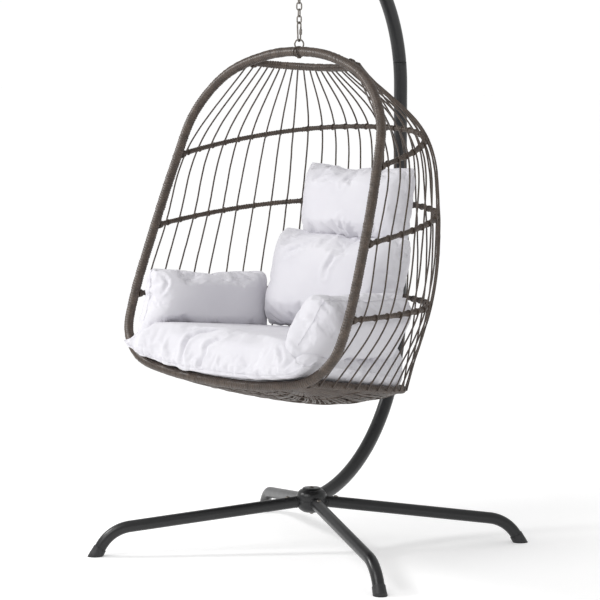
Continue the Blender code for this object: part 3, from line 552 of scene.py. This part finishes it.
def pole_point(station):
    """A point of the pole's middle line: 0 to 1 low bend, 1 to 2 upright, 2 to 3 top bend."""
    if station <= 1:
        angle = radians(-90 + 90 * station)
        y = POLE_Y - POLE_LOW_BEND + POLE_LOW_BEND * cos(angle)
        z = POLE_START_Z + POLE_LOW_BEND + POLE_LOW_BEND * sin(angle)
    elif station <= 2:
        y = POLE_Y
        low_z = POLE_START_Z + POLE_LOW_BEND
        z = low_z + (POLE_UPRIGHT_TOP - low_z) * (station - 1)
    else:
        angle = radians(90 * (station - 2))
        y = POLE_Y - POLE_TOP_BEND + POLE_TOP_BEND * cos(angle)
        z = POLE_UPRIGHT_TOP + POLE_TOP_BEND * sin(angle)
    return Vector((0, y, z))


def top_bend_station(y):
    return 2 + acos((y - POLE_Y + POLE_TOP_BEND) / POLE_TOP_BEND) / (pi / 2)


def pole_line(stations):
    return [tuple(pole_point(s)) for s in stations]


def build_pole():
    split = 2 + POLE_SPLIT_ANGLE / 90
    end = top_bend_station(HANG.y - HUB.y - POLE_END_PAST_EYE)
    lip = 0.0016 / (POLE_TOP_BEND * pi / 2)
    low = 0.040 / (POLE_LOW_BEND * pi / 2)
    lower = [*np.linspace(low, 1, 48), *np.linspace(1.02, 2, 6), *np.linspace(2.01, split - lip, 6), split]
    radii = np.full(len(lower), POLE_RADIUS)
    radii[-1] = POLE_RADIUS - 0.0012
    piece = tube("pole_tube_lower", pole_line(lower), radii, 56)
    finish_piece(piece, STAND, "stand", "powder_coat", "pole_lower", "pole_sleeve")
    upper = [split + lip * 0.2, split + lip, *np.linspace(split + 0.02, end, 64)]
    radii = np.full(len(upper), POLE_RADIUS)
    radii[0] = POLE_RADIUS - 0.0012
    piece = tube("pole_tube_upper", pole_line(upper), radii, 56)
    finish_piece(piece, STAND, "stand", "powder_coat", "pole_upper")
    before, tip = pole_point(end - 0.002), pole_point(end)
    profile = [(0, 0.0042), (POLE_RADIUS - 0.006, 0.0040),
               *arc((POLE_RADIUS - 0.0025, 0.0015), 0.0025, 80, 0, 6), (POLE_RADIUS, 0.0002), (0, 0.0002)]
    cap = turned("pole_plug", profile, 56)
    at = STAND @ Matrix.Translation(tip) @ along(tip - before)
    finish_piece(cap, at, "stand", "moulded_black", "pole_end_cap")
    share = 0.055 / (POLE_TOP_BEND * pi / 2)
    centre, ahead = pole_point(split + share / 2), pole_point(split + share)
    outward = (ahead - centre).cross(Vector((1, 0, 0))).normalized()
    bolt = dome_bolt("pole_screw", POLE_RADIUS, SCREW_HEAD, SCREW_RISE)
    at = STAND @ Matrix.Translation(centre) @ along(outward)
    finish_piece(bolt, at, "stand", "grey_steel", "pole_bolt")
    start = pole_point(low)
    run = (pole_point(low + 0.03) - start).normalized()
    ring = ring_round(start + run * 0.010, run, POLE_RADIUS + 0.0004)
    bead = tube("pole_socket", ring, 0.0016, 8, closed=True)
    finish_piece(bead, STAND, "stand", "powder_coat")


# --- Hanger -----------------------------------------------------------------------------------
def hang_at(z, turn=0.0):
    return CHAIR @ Matrix.Translation((0, 0, z)) @ Matrix.Rotation(radians(turn), 4, "Z")


def link_path(length, low_width, high_width, steps):
    """A closed loop in the XZ plane: two round ends joined by straight sides, bottom at z = 0."""
    low, high = low_width / 2, high_width / 2
    lean = degrees(asin((high - low) / (length - low - high)))
    bottom = arc((0, low), low, -180 - lean, lean, steps)
    top = arc((0, length - high), high, lean, 180 - lean, steps)
    line = [Vector((x, 0, z)) for x, z in bottom + top]
    return evenly(line, steps * 6, closed=True)


def build_hanger():
    build_pole_eye()
    top_low, top_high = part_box("top_quick_link")
    length = top_high.z - top_low.z - 2 * WIRE
    flipped = hang_at(top_high.z - WIRE) @ Matrix.Rotation(pi, 4, "X")
    quick_link("upper_shackle", flipped, length, "top_link", "top_quick_link")
    lower_low, lower_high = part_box("lower_quick_link")
    at = hang_at(lower_low.z + WIRE, LOWER_LINK_TURN)
    quick_link("lower_shackle", at, length, "chain", "lower_quick_link")
    for index in range(LINK_COUNT):
        low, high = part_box(f"chain_link_{index + 1}")
        path = link_path(high.z - low.z - 2 * CHAIN_WIRE, CHAIN_WIDTH, CHAIN_WIDTH, 10)
        weld = np.exp(-((path[:, 2] - path[:, 2].mean()) / 0.0012) ** 2) * (path[:, 0] > 0)
        radii = CHAIN_WIRE * (1 + 0.14 * weld)
        link = tube(f"link_{index + 1}", path, radii, 16, closed=True)
        at = hang_at(low.z + CHAIN_WIRE, LINK_TURNS[index])
        finish_piece(link, at, "chain", "grey_steel", f"chain_link_{index + 1}")


def ring_path(radius, steps=64):
    return [(x, 0, z) for x, z in arc((0, radius), radius, 0, 360, steps)[:-1]]


def build_pole_eye():
    bar_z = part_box("pole_eye")[0].z + WIRE
    ring = tube("eye_ring", ring_path(EYE_RING), WIRE, 20, closed=True)
    finish_piece(ring, hang_at(bar_z, 90), "eye", "grey_steel", "pole_eye")
    low = bar_z + 2 * EYE_RING
    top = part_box("pole_eye")[1].z
    nut_low, nut_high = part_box("pole_eye_nut")
    thread = []
    z = nut_high.z + 0.0004
    while z < top - 0.0012:
        thread += [(0.0040, z), (0.0036, z + 0.0005)]
        z += 0.0010
    profile = [(0, low - 0.001), (0.0050, low - 0.001), (0.0066, low + 0.0018), (0.0066, low + 0.0042),
               (0.0040, low + 0.0046), *thread, (0.0034, top), (0, top)]
    shank = turned("eye_shank", profile, 32)
    finish_piece(shank, hang_at(0), "eye", "grey_steel")
    nut = hex_nut("eye_nut", NUT_CORNER, 0.0040, nut_high.z - nut_low.z)
    finish_piece(nut, hang_at(nut_low.z), "eye", "grey_steel", "pole_eye_nut")


def quick_link(name, at, length, body, node):
    """A pear-shaped screw link with its threaded gap and six-sided sleeve."""
    path = link_path(length, QUICK_LINK_NARROW, QUICK_LINK_WIDE, 16)
    link = tube(name, path, WIRE, 20, closed=True)
    finish_piece(link, at, body, "grey_steel", node)
    low, high = QUICK_LINK_NARROW / 2, QUICK_LINK_WIDE / 2
    side = Vector(((low + high) / 2, 0, (low + length - high) / 2))
    lean = asin((high - low) / (length - low - high))
    half = 0.008
    sleeve = hex_nut(f"{name}_sleeve", (WIRE + 0.0026), WIRE, 2 * half)
    side_at = at @ Matrix.Translation(side) @ Matrix.Rotation(lean, 4, "Y")
    finish_piece(sleeve, side_at @ Matrix.Translation((0, 0, -half)), body, "grey_steel", f"{node}_sleeve")
    thread = []
    for turn in range(9):
        z = half + turn * 0.0008
        thread += [(WIRE + 0.0004, z), (WIRE, z + 0.0004)]
    profile = [(WIRE - 0.0004, half - 0.001), *thread, (WIRE - 0.0004, half + 0.008)]
    threads = turned(f"{name}_thread", profile + [profile[0]], 24)
    finish_piece(threads, side_at, body, "grey_steel")


# --- Basket -----------------------------------------------------------------------------------
def rim_point(half_width, height):
    """A point of the leaning, slightly bowed rim, from its outline."""
    drop = height - RIM_LENGTH
    tilt = radians(RIM_TILT)
    bow = RIM_BOW * sin(pi * height / RIM_LENGTH)
    return Vector((half_width, drop * sin(tilt) + bow, RIM_TOP_Z + drop * cos(tilt)))


def rim_line(steps):
    right = [rim_point(x, share * RIM_LENGTH) for x, share in RIM_OUTLINE]
    left = [Vector((-p.x, p.y, p.z)) for p in reversed(right[1:-1])]
    return spline_through(right + left, steps, closed=True)


def rim_half_width(share):
    target = rim_point(0, share * RIM_LENGTH).z
    line = rim_line(12)
    for p, q in zip(line, line[1:]):
        if p.x >= 0 and p.z <= target <= q.z:
            return p.lerp(q, (target - p.z) / (q.z - p.z)).x
    return 0.0


def hoop_line(name, steps=96):
    """Middle line of a hoop, from the rim's left side round the back to its right side."""
    share, depth, rise, fullness, _ = HOOPS[name]
    start = rim_point(0, share * RIM_LENGTH)
    half = rim_half_width(share)
    points = []
    for step in range(steps + 1):
        angle = pi * step / steps
        reach = sin(angle) ** (2 / fullness) * depth if 0 < step < steps else 0.0
        side = abs(cos(angle)) ** (2 / fullness) * half * (1 if cos(angle) >= 0 else -1)
        points.append(start + Vector((side, reach * cos(radians(rise)), reach * sin(radians(rise)))))
    return points


def wound_radii(count, rows, sides, core, rise, turns_seed):
    """Radii of a tube wound with strand: one round ridge for each turn, a little uneven."""
    rng = np.random.default_rng(turns_seed)
    phase = (np.arange(count)[:, None] / rows + np.arange(sides)[None, :] / sides)
    ridge = np.sqrt(np.maximum(0, 1 - (2 * (phase % 1) - 1) ** 2))
    turn = np.floor(phase).astype(int) % (count // rows)
    uneven = rng.normal(0, 0.14, count // rows + 1)
    return core + rise * ridge * (1 + uneven[turn])


def wound_tube(name, line, radius, sides, closed, seed, rows=4):
    turns = round(line_length(line, closed) / WIND_PITCH)
    path = evenly(line, turns * rows, closed)
    radii = wound_radii(turns * rows, rows, sides, radius - WIND_RISE, WIND_RISE, seed)
    return tube(name, path, radii, sides, closed, sharp=0)


def build_rim():
    rim = wound_tube("wound_rim", rim_line(16), RIM_RADIUS, 24, True, 11)
    finish_piece(rim, CHAIR, "basket", "brown_wicker", "front_rim")


def build_hoops():
    for seed, (name, values) in enumerate(HOOPS.items()):
        radius = values[-1]
        line = hoop_line(name)
        hoop = wound_tube(f"wound_{name}", line, radius, 16, False, 20 + seed)
        finish_piece(hoop, CHAIR, "basket", "brown_wicker", name)
        collars = []
        for end, step in ((0, 1), (-1, -1)):
            toward = (line[end + 2 * step] - line[end]).normalized()
            for turn in range(3):
                centre = line[end] + toward * (RIM_RADIUS + 0.001 + turn * 0.0046)
                ring = ring_round(centre, toward, radius + 0.0012 + 0.0008 * (2 - turn), steps=24)
                collars.append((ring, STRAND, 8, True))
        lashing = tubes(f"lashing_{name}", collars, sharp=0)
        finish_piece(lashing, CHAIR, "basket", "brown_wicker")


def direction_at(line, share):
    return (at_share(line, min(share + 0.01, 1)) - at_share(line, max(share - 0.01, 0))).normalized()


def outward_at(point, along_hoop, down):
    """The direction out of the basket, square to a hoop and to the strand that crosses it."""
    normal = along_hoop.cross(down).normalized()
    return normal if normal.dot(point - Vector((0, -0.05, point.z))) > 0 else -normal


def strand_route(share, lines, wobble):
    """Points of a strand over the outside of every hoop, from the top arc to the base ring."""
    crossings = [at_share(line, share) for line in lines]
    points = []
    for index, (name, line) in enumerate(zip(HOOPS, lines)):
        radius, here = HOOPS[name][-1], crossings[index]
        along_hoop = direction_at(line, share)
        before, after = crossings[max(index - 1, 0)], crossings[min(index + 1, len(lines) - 1)]
        out = outward_at(here, along_hoop, (after - before).normalized())
        points.append(here + out * (radius + STRAND * 0.6) + along_hoop * wobble[index])
    return points


def build_strands():
    lines = [hoop_line(name) for name in HOOPS]
    strands, wraps = [], []
    for index in range(STRAND_COUNT):
        share = 0.030 + 0.940 * index / (STRAND_COUNT - 1)
        wobble = RNG.normal(0, 0.0022, len(lines))
        route = strand_route(share, lines, wobble)
        path = evenly(spline_through(route, 14), 90)
        drift = np.cumsum(RNG.normal(0, 0.00022, (90, 3)), 0)
        fade = np.sin(np.linspace(0, pi, 90))[:, None]
        strands.append((path + drift * fade, STRAND * 0.92, 8, False))
        for name, line in zip(HOOPS, lines):
            if name in ("top_arc", "base_ring"):
                continue
            radius = HOOPS[name][-1]
            around = direction_at(line, share)
            here = at_share(line, share) + around * wobble[list(HOOPS).index(name)]
            wraps.append((ring_round(here, around, radius + 0.0004, 0.0022, 20), WRAP, 8, True))
    walls = ("weave_top", "weave_upper", "weave_middle", "weave_lower")
    piece = tubes("wall_strands", strands, sharp=0)
    finish_piece(piece, CHAIR, "basket", "brown_wicker", *walls)
    piece = tubes("strand_wraps", wraps, sharp=0)
    finish_piece(piece, CHAIR, "basket", "brown_wicker")


def seat_point(across, back, rail, ring):
    """A point of the seat pan: across runs -1 to 1, back runs 0 at the rim to 1 at the base ring."""
    front = at_share(rail, (1 + across) / 2)
    rear = at_share(ring, (1 - across) / 2)
    point = front.lerp(rear, back)
    point.z -= SEAT_SAG * (1 - across**2) * 4 * back * (1 - back)
    return point


def build_seat_pan():
    ring = hoop_line("base_ring")
    rail = sorted((p for p in rim_line(12) if p.z <= ring[0].z + 1e-4), key=lambda p: p.x)
    parts = []
    for index in range(CHORD_COUNT):
        back = 0.03 + 0.95 * index / (CHORD_COUNT - 1)
        phase = RNG.uniform(0, 2 * pi)
        bow = RNG.normal(0, 0.010)
        line = []
        for step in range(33):
            across = -0.97 + 1.94 * step / 32
            shift = bow * (1 - across**2) + 0.016 * sin(2.4 * across + phase) * (1 - across**2)
            point = seat_point(across, min(max(back + shift, 0.0), 1.0), rail, ring)
            point.z += 0.0026 * sin(9 * across + index * pi) - 0.004
            line.append(point)
        parts.append((evenly(line, 64), STRAND * 0.95, 8, False))
    for index in range(FAN_COUNT):
        across = -0.93 + 1.86 * index / (FAN_COUNT - 1)
        lean = 0.34 * sin(pi * index / (FAN_COUNT - 1)) * (1 if index % 2 else -1) + RNG.normal(0, 0.02)
        line = []
        for step in range(25):
            back = step / 24
            side = min(max(across + lean * sin(pi * back) * 0.5, -0.97), 0.97)
            point = seat_point(side, back, rail, ring)
            point.z += 0.0026 * sin(16 * back + index * pi) - 0.0045
            line.append(point)
        parts.append((evenly(line, 56), STRAND * 0.95, 8, False))
    piece = tubes("seat_strands", parts, sharp=0)
    finish_piece(piece, CHAIR, "basket", "brown_wicker", "seat_weave")


def build_rim_eye():
    low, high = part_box("rim_eye")
    ring = tube("basket_ring", ring_path(EYE_RING), WIRE, 20, closed=True)
    at = hang_at(high.z - WIRE - 2 * EYE_RING, RIM_EYE_TURN)
    finish_piece(ring, at, "basket", "grey_steel", "rim_eye")
    top = rim_point(0, RIM_LENGTH)
    wraps = []
    along_rim = Vector((1, 0, 0))
    for offset, lean in ((-0.0065, 0.0060), (0.0, -0.0055), (0.0065, -0.0060)):
        ring = ring_round(top + along_rim * offset, along_rim, RIM_RADIUS + 0.0006, lean, 32)
        wraps.append((ring, 0.0016, 8, True))
    knot = arc((top.x, top.y), 0.004, 0, -360, 16)[:-1]
    wraps.append((np.array([(x, y, top.z - RIM_RADIUS - 0.0035) for x, y in knot]), STRAND, 8, True))
    piece = tubes("ring_lashing", wraps, sharp=0)
    finish_piece(piece, CHAIR, "basket", "brown_wicker")


# --- Cushions ---------------------------------------------------------------------------------
def cloth_object(name, points, faces, voxel):
    """The cushion's starting shape: smoothed, then remeshed into even cells for the cloth."""
    piece = object_from(name, points, faces, sharp=0)
    smooth = piece.modifiers.new("soft", "SUBSURF")
    smooth.levels = smooth.render_levels = 1
    remesh = piece.modifiers.new("even", "REMESH")
    remesh.mode = "VOXEL"
    remesh.voxel_size = voxel
    applied(piece)
    return piece


def applied(piece):
    graph = bpy.context.evaluated_depsgraph_get()
    graph.update()
    mesh = bpy.data.meshes.new_from_object(piece.evaluated_get(graph))
    piece.modifiers.clear()
    piece.data = mesh


def coordinates(piece, what="co"):
    values = np.zeros(len(piece.data.vertices) * 3)
    piece.data.vertices.foreach_get(what, values)
    return values.reshape(-1, 3)


def set_coordinates(piece, points):
    piece.data.vertices.foreach_set("co", np.asarray(points, float).ravel())
    piece.data.update()


def add_cloth(piece, pinned, slack):
    """Air pressure inside a cover that is a little larger than its starting shape."""
    group = piece.vertex_groups.new(name="sewn")
    for index in np.nonzero(pinned > 0.01)[0]:
        group.add([int(index)], float(pinned[index]), "REPLACE")
    cloth = piece.modifiers.new("cover", "CLOTH")
    values = {"quality": 6, "mass": 0.25, "tension_stiffness": 20, "compression_stiffness": 20,
              "shear_stiffness": 8, "bending_stiffness": 0.35, "air_damping": 2.0, "use_pressure": True,
              "uniform_pressure_force": 4.0, "shrink_min": -slack, "vertex_group_mass": "sewn",
              "pin_stiffness": 1.0}
    for key, value in values.items():
        setattr(cloth.settings, key, value)
    cloth.settings.effector_weights.gravity = 0
    cloth.collision_settings.use_collision = False
    cloth.point_cache.frame_start = 1
    cloth.point_cache.frame_end = CLOTH_FRAMES


def run_cloth(cushions):
    """Steps every cover at once, then keeps each point within its cap of where it started."""
    pieces = [cushion.piece for cushion in cushions]
    caps = [cushion.cap() for cushion in cushions]
    starts = [coordinates(piece) for piece in pieces]
    for step in range(1, CLOTH_FRAMES + 1):
        bpy.context.scene.frame_set(step)
    for piece, start, cap in zip(pieces, starts, caps):
        applied(piece)
        move = coordinates(piece) - start
        length = np.linalg.norm(move, axis=1, keepdims=True)
        set_coordinates(piece, start + move * np.minimum(1, cap / np.maximum(length, 1e-9)))
    bpy.context.scene.frame_set(1)


def pillow(half_u, half_v, thickness, waist, fullness, count=(36, 24)):
    """A knife-edged cushion with its sides pulled in between its corners: points, faces, seam.

    Its face lies in the XZ plane and its thickness along Y. The seam is the outline, in order.
    """
    nu, nv = count
    u = -np.cos(np.linspace(0, pi, nu + 1)) * 0.5 + np.linspace(-1, 1, nu + 1) * 0.5
    v = -np.cos(np.linspace(0, pi, nv + 1)) * 0.5 + np.linspace(-1, 1, nv + 1) * 0.5
    u, v = np.meshgrid(u, v, indexing="ij")
    x = half_u * u * (1 - waist * (1 - v**2) * u**2)
    z = half_v * v * (1 - waist * (1 - u**2) * v**2)
    h = thickness / 2 * ((1 - np.abs(u) ** fullness) * (1 - np.abs(v) ** fullness)) ** 0.5
    return joined_layers(x, z, h, -h)


def slanted(shape, slant):
    """The front end of an arm cushion leans back at its top, along the opening."""
    points, *rest = shape
    reach, height = -points[:, 0].min(), points[:, 2].max()
    points = points.copy()
    points[:, 0] += slant * points[:, 2] / height * np.clip(-points[:, 0] / reach, 0, 1)
    return (points, *rest)


def joined_layers(x, z, front, back):
    """Two grids of heights that share their border, as one closed surface."""
    nu, nv = x.shape[0] - 1, x.shape[1] - 1
    points, faces = [], []
    index = np.zeros((2, nu + 1, nv + 1), int)
    for layer, height in enumerate((front, back)):
        for i in range(nu + 1):
            for j in range(nv + 1):
                border = i in (0, nu) or j in (0, nv)
                if layer and border:
                    index[1, i, j] = index[0, i, j]
                    continue
                index[layer, i, j] = len(points)
                points.append((x[i, j], height[i, j], z[i, j]))
    for layer in (0, 1):
        for i in range(nu):
            for j in range(nv):
                corners = ((i, j), (i + 1, j), (i + 1, j + 1), (i, j + 1))
                quad = [int(index[(layer, *corner)]) for corner in corners]
                faces.append(quad if layer else quad[::-1])
    rim = [(i, 0) for i in range(nu)] + [(nu, j) for j in range(nv)]
    rim += [(i, nv) for i in range(nu, 0, -1)] + [(0, j) for j in range(nv, 0, -1)]
    seam = np.array([points[index[0, i, j]] for i, j in rim])
    return np.array(points), faces, seam


def moved(points, matrix):
    m = np.array(matrix)
    return points @ m[:3, :3].T + m[:3, 3]


def distance_to(points, line):
    """Distance from each point to the nearest of the line's points, and that point."""
    nearest = np.zeros((len(points), 3))
    best = np.full(len(points), np.inf)
    for start in range(0, len(points), 4000):
        part = points[start:start + 4000]
        gap = np.linalg.norm(part[:, None, :] - line[None, :, :], axis=2)
        pick = gap.argmin(1)
        best[start:start + 4000] = gap[np.arange(len(part)), pick]
        nearest[start:start + 4000] = line[pick]
    return best, nearest


def dimpled(points, at, depth):
    """The points near a place pushed down."""
    gap = np.linalg.norm(points - np.array(at), axis=1)
    return points + np.exp(-(gap / 0.05) ** 2)[:, None] * (0, 0, -depth)


class Cushion:
    """A cushion on its way from a sewn outline to an inflated cover."""

    def __init__(self, node, shape, matrix, voxel, caps, fill, slack=0.06, dip=None):
        points, faces, seam = shape
        points = moved(points, matrix)
        self.seam = moved(seam, matrix)
        self.node, self.caps, self.fill = node, caps, fill
        if dip:
            points = dimpled(points, *dip)
        self.piece = cloth_object(f"sewn_{node}", points, faces, voxel)
        gap, _ = distance_to(coordinates(self.piece), evenly(self.seam, 600, True))
        add_cloth(self.piece, np.clip(1.2 - gap / (1.6 * voxel), 0, 1) * 0.9, slack)

    def cap(self):
        """How far each point may move: the cap's first value on the open side, its second behind."""
        front, behind, outward = self.caps
        normals = coordinates(self.piece, "normal")
        facing = np.clip(0.5 + normals @ np.array(outward) * 0.9, 0, 1)
        return (behind + (front - behind) * facing)[:, None]


def seam_on(piece, line, radius, lift):
    """A thin sewn cord that lies on the finished cover along a line."""
    mesh = piece.data
    tree = BVHTree.FromPolygons([v.co for v in mesh.vertices], [p.vertices for p in mesh.polygons])
    path = []
    for point in evenly(line, int(line_length(line, True) / 0.006), True):
        at, normal, _, _ = tree.find_nearest(Vector(point))
        path.append(at + normal * lift)
    path = np.array([tuple(p) for p in path])
    for _ in range(3):
        path = (np.roll(path, 1, 0) + 2 * path + np.roll(path, -1, 0)) / 4
    return path, radius, 8, True


def wrinkles(points, normals, seam, rng, depth, reach, count):
    """Gathers that start at the seam and die out across the cover."""
    gap, nearest = distance_to(points, seam)
    run = np.zeros(len(seam))
    run[1:] = np.cumsum(np.linalg.norm(np.diff(seam, axis=0), axis=1))
    total = run[-1]
    order = {tuple(np.round(p, 6)): r for p, r in zip(seam, run)}
    where = np.array([order[tuple(np.round(p, 6))] for p in nearest]) / total
    height = np.zeros(len(points))
    for _ in range(count):
        centre, width = rng.uniform(0, 1), rng.uniform(0.006, 0.013) / total
        length, deep = reach * rng.uniform(0.5, 1.5), depth * rng.uniform(0.4, 1.0)
        away = np.abs((where - centre + 0.5) % 1 - 0.5)
        fade = np.exp(-(gap / length) ** 2) * (1 - np.exp(-(gap / 0.006) ** 2))
        height -= deep * np.exp(-(away / width) ** 2) * fade
    return points + normals * height[:, None]


def creased(points, normals, path, depth, width):
    """A sharp fold along a line, with the cloth standing up a little on both sides of it."""
    line = evenly(spline_through([Vector(p) for p in path], 8), 90)
    line = [Vector(points[np.linalg.norm(points - np.array(p), axis=1).argmin()]) for p in line[::6]]
    line = [line[0], *(b for a, b in zip(line, line[1:]) if (b - a).length > 0.004)]
    line = evenly(spline_through(line, 8), 120)
    gap, _ = distance_to(points, line)
    ends = np.minimum(np.linalg.norm(points - line[0], axis=1), np.linalg.norm(points - line[-1], axis=1))
    fade = np.clip(ends / (4 * width), 0.15, 1)
    fold = -np.exp(-(gap / width) ** 2) + 0.4 * np.exp(-((gap - 2.4 * width) / (1.3 * width)) ** 2)
    return points + normals * (depth * fade * fold)[:, None]


def make_cushions():
    turn, quarter = Matrix.Rotation, Matrix.Rotation(radians(90), 4, "Z")
    cushions = []
    for side, node, middle_at, roll, half in ARMS:
        at = Matrix.Translation(middle_at) @ turn(radians(side * 10), 4, "Z")
        at = at @ turn(radians(-4), 4, "X") @ turn(radians(side * roll), 4, "Y") @ quarter
        shape = slanted(pillow(0.222, half, 0.162, 0.06, 5.0, (44, 28)), ARM_SLANT)
        dip = (side * 0.372, -0.060, 0.885), 0.010
        cushions.append(Cushion(node, shape, at, 0.0055, (0.014, 0.006, (-side, -0.3, 0.3)), 0.7, dip=dip))
    at = Matrix.Translation((0, 0.158, 0.850)) @ turn(radians(-15), 4, "X")
    cushions.append(Cushion("back_cushion", pillow(0.288, 0.162, 0.170, 0.06, 4.5, (52, 32)), at, 0.0065,
                            (0.016, 0.005, (0, -1, 0.1)), 0.7, dip=((0.10, 0.15, 1.00), 0.014)))
    at = Matrix.Translation((0.022, 0.226, 1.096)) @ turn(radians(-8), 4, "X")
    cushions.append(Cushion("head_cushion", pillow(0.242, 0.124, 0.120, 0.060, 4.0, (44, 28)), at, 0.0055,
                            (0.014, 0.004, (0, -1, 0.1)), 0.65, dip=((-0.02, 0.22, 1.225), 0.012)))
    return [*cushions, seat_cushion()]


def build_cushions():
    cushions = make_cushions()
    run_cloth(cushions)
    rng = np.random.default_rng(3)
    for cushion in cushions:
        piece, node = cushion.piece, cushion.node
        seam = evenly(cushion.seam, 500, True)
        points = wrinkles(coordinates(piece), coordinates(piece, "normal"), seam, rng, 0.0045, 0.040,
                          int(line_length(cushion.seam, True) / 0.020))
        set_coordinates(piece, points)
        for path, depth, width in CREASES.get(node, ()):
            points = creased(points, coordinates(piece, "normal"), path, depth, width)
        if node == "seat_cushion":
            points = off_the_rim(points)
        set_coordinates(piece, points)
        fine = piece.modifiers.new("fine", "SUBSURF")
        fine.levels = fine.render_levels = 1
        applied(piece)
        piece.data.shade_smooth()
        trim = tubes(f"seam_{node}", [seam_on(piece, cushion.seam, CORD_RADIUS, 0.0002)], sharp=0)
        finish_piece(piece, CHAIR, "basket", "white_fabric", node)
        finish_piece(trim, CHAIR, "basket", "white_fabric")


def seat_height(x, y):
    """Height that the seat cushion rests on: the rail in front, the seat pan behind it."""
    ring = hoop_line("base_ring")
    rail, rear = ring[0], ring[len(ring) // 2]
    front_line = sorted((p for p in rim_line(12) if p.z <= rail.z + 0.10), key=lambda p: p.x)
    front = np.interp(x, [p.x for p in front_line], [p.z for p in front_line]) + RIM_RADIUS
    back = np.clip((y - rail.y) / (rear.y - rail.y), 0, 1)
    across = np.clip(x / rail.x, -1, 1)
    return front + (rear.z - front) * back - SEAT_SAG * (1 - across**2) * 4 * back * (1 - back)


def seat_cushion():
    """The seat pad: full width in front, narrowing to the back, on the curve of the seat pan."""
    u, v = np.meshgrid(np.linspace(-1, 1, 65), np.linspace(-1, 1, 49), indexing="ij")
    y = SEAT_FRONT + (SEAT_BACK - SEAT_FRONT) * (1 + v) / 2
    x = u * SEAT_HALF * (1 - SEAT_NARROWING * ((1 + v) / 2) ** 2.6)
    puff = np.sqrt((1 - np.abs(u) ** 8) * (1 - np.abs(v) ** np.where(v < 0, 18, 8)))
    top = SEAT_TOP_FRONT + (SEAT_TOP_BACK - SEAT_TOP_FRONT) * (1 + v) / 2
    low = seat_height(x, y) + 0.004 + 0.008 * np.sin(pi * (1 + v) / 2)
    seam = low + (top - low) * (0.16 + 0.20 * (1 + v) / 2)
    shape = joined_layers(x, y, seam + (top - seam) * puff, seam - (seam - low) * puff)
    points, faces, outline = shape
    swap = [0, 2, 1]
    shape = points[:, swap], [f[::-1] for f in faces], outline[:, swap]
    return Cushion("seat_cushion", shape, Matrix(), 0.0075, (0.015, 0.003, (0, -0.5, 0.8)), 0.6, 0.07)


def off_the_rim(points):
    """Pushes the pad's surface out of the rim's tube."""
    clear = RIM_RADIUS + 0.0035
    gap, nearest = distance_to(points, evenly(rim_line(16), 900, True))
    push = np.clip(clear - gap, 0, None)[:, None]
    return points + unit(points - nearest) * push


# --- Stage ------------------------------------------------------------------------------------
def build_stage():
    m = Nodes("studio_floor", 0.9)
    m.colour(m.ramp(m.noise(1.2, 2), ((0.3, (0.90, 0.90, 0.90)), (0.7, (0.93, 0.93, 0.93)))))
    m.shader.inputs["Specular IOR Level"].default_value = 0.1
    m.shader.inputs["Emission Color"].default_value = (1, 1, 1, 1)
    m.shader.inputs["Emission Strength"].default_value = FLOOR_GLOW
    mesh = bpy.data.meshes.new("studio_floor")
    half = 45.0
    corners = [(-half, -half, 0), (half, -half, 0), (half, half, 0), (-half, half, 0)]
    mesh.from_pydata(corners, [], [(0, 1, 2, 3)])
    floor = bpy.data.objects.new("studio_floor", mesh)
    floor.data.materials.append(m.material)
    bpy.context.scene.collection.objects.link(floor)


def add_area_light(name, location, target, size, power):
    light = bpy.data.lights.new(name, "AREA")
    light.shape = "DISK"
    light.size = size
    light.energy = power
    lamp = bpy.data.objects.new(name, light)
    lamp.location = location
    lamp.rotation_euler = (Vector(target) - Vector(location)).to_track_quat("-Z", "Y").to_euler()
    bpy.context.scene.collection.objects.link(lamp)


def build_lights():
    world = bpy.data.worlds.new("studio")
    world.use_nodes = True
    tree = world.node_tree
    coords = tree.nodes.new("ShaderNodeTexCoord").outputs["Generated"]
    split = tree.nodes.new("ShaderNodeSeparateXYZ")
    tree.links.new(coords, split.inputs[0])
    ramp = tree.nodes.new("ShaderNodeValToRGB")
    tree.links.new(split.outputs["Z"], ramp.inputs["Fac"])
    for element, (position, level) in zip(ramp.color_ramp.elements, ((0.04, 1.0), (0.16, WORLD_STRENGTH))):
        element.position = position
        element.color = (level, level, level, 1)
    background = tree.nodes["Background"]
    tree.links.new(ramp.outputs["Color"], background.inputs["Color"])
    background.inputs["Strength"].default_value = 1.02
    bpy.context.scene.world = world
    centre = (0, 0, 0.9)
    key = bpy.data.lights.new("key", "SUN")
    key.energy = KEY_STRENGTH
    key.angle = radians(32)
    lamp = bpy.data.objects.new("key", key)
    lamp.rotation_euler = Vector((0.25, 0.90, -0.80)).to_track_quat("-Z", "Y").to_euler()
    bpy.context.scene.collection.objects.link(lamp)
    add_area_light("strip", (-2.6, -1.2, 2.4), centre, 0.6, 42)


def build_camera():
    scene = bpy.context.scene
    camera = bpy.data.cameras.new("camera")
    camera.lens = 156
    camera.sensor_width = 36
    camera.clip_end = 100
    viewer = bpy.data.objects.new("camera", camera)
    place_turn, look_turn, look_down = radians(32.501), radians(32.762), radians(6.115)
    viewer.location = (HUB.x + 8.1116 * sin(place_turn), HUB.y - 8.1116 * cos(place_turn), 1.6671)
    forward = Vector((-sin(look_turn) * cos(look_down), cos(look_turn) * cos(look_down), -sin(look_down)))
    viewer.rotation_euler = forward.to_track_quat("-Z", "Y").to_euler()
    scene.collection.objects.link(viewer)
    scene.camera = viewer
    scene.view_settings.view_transform = "Standard"


build_camera()
build_lights()
build_stage()
MATERIALS = {
    "powder_coat": powder_coat_material(),
    "moulded_black": plastic_material(),
    "grey_steel": steel_material(),
    "brown_wicker": wicker_material(),
    "white_fabric": fabric_material(),
}
build_hub()
build_legs()
build_pole()
build_hanger()
build_rim()
build_hoops()
build_strands()
build_seat_pan()
build_rim_eye()
build_cushions()
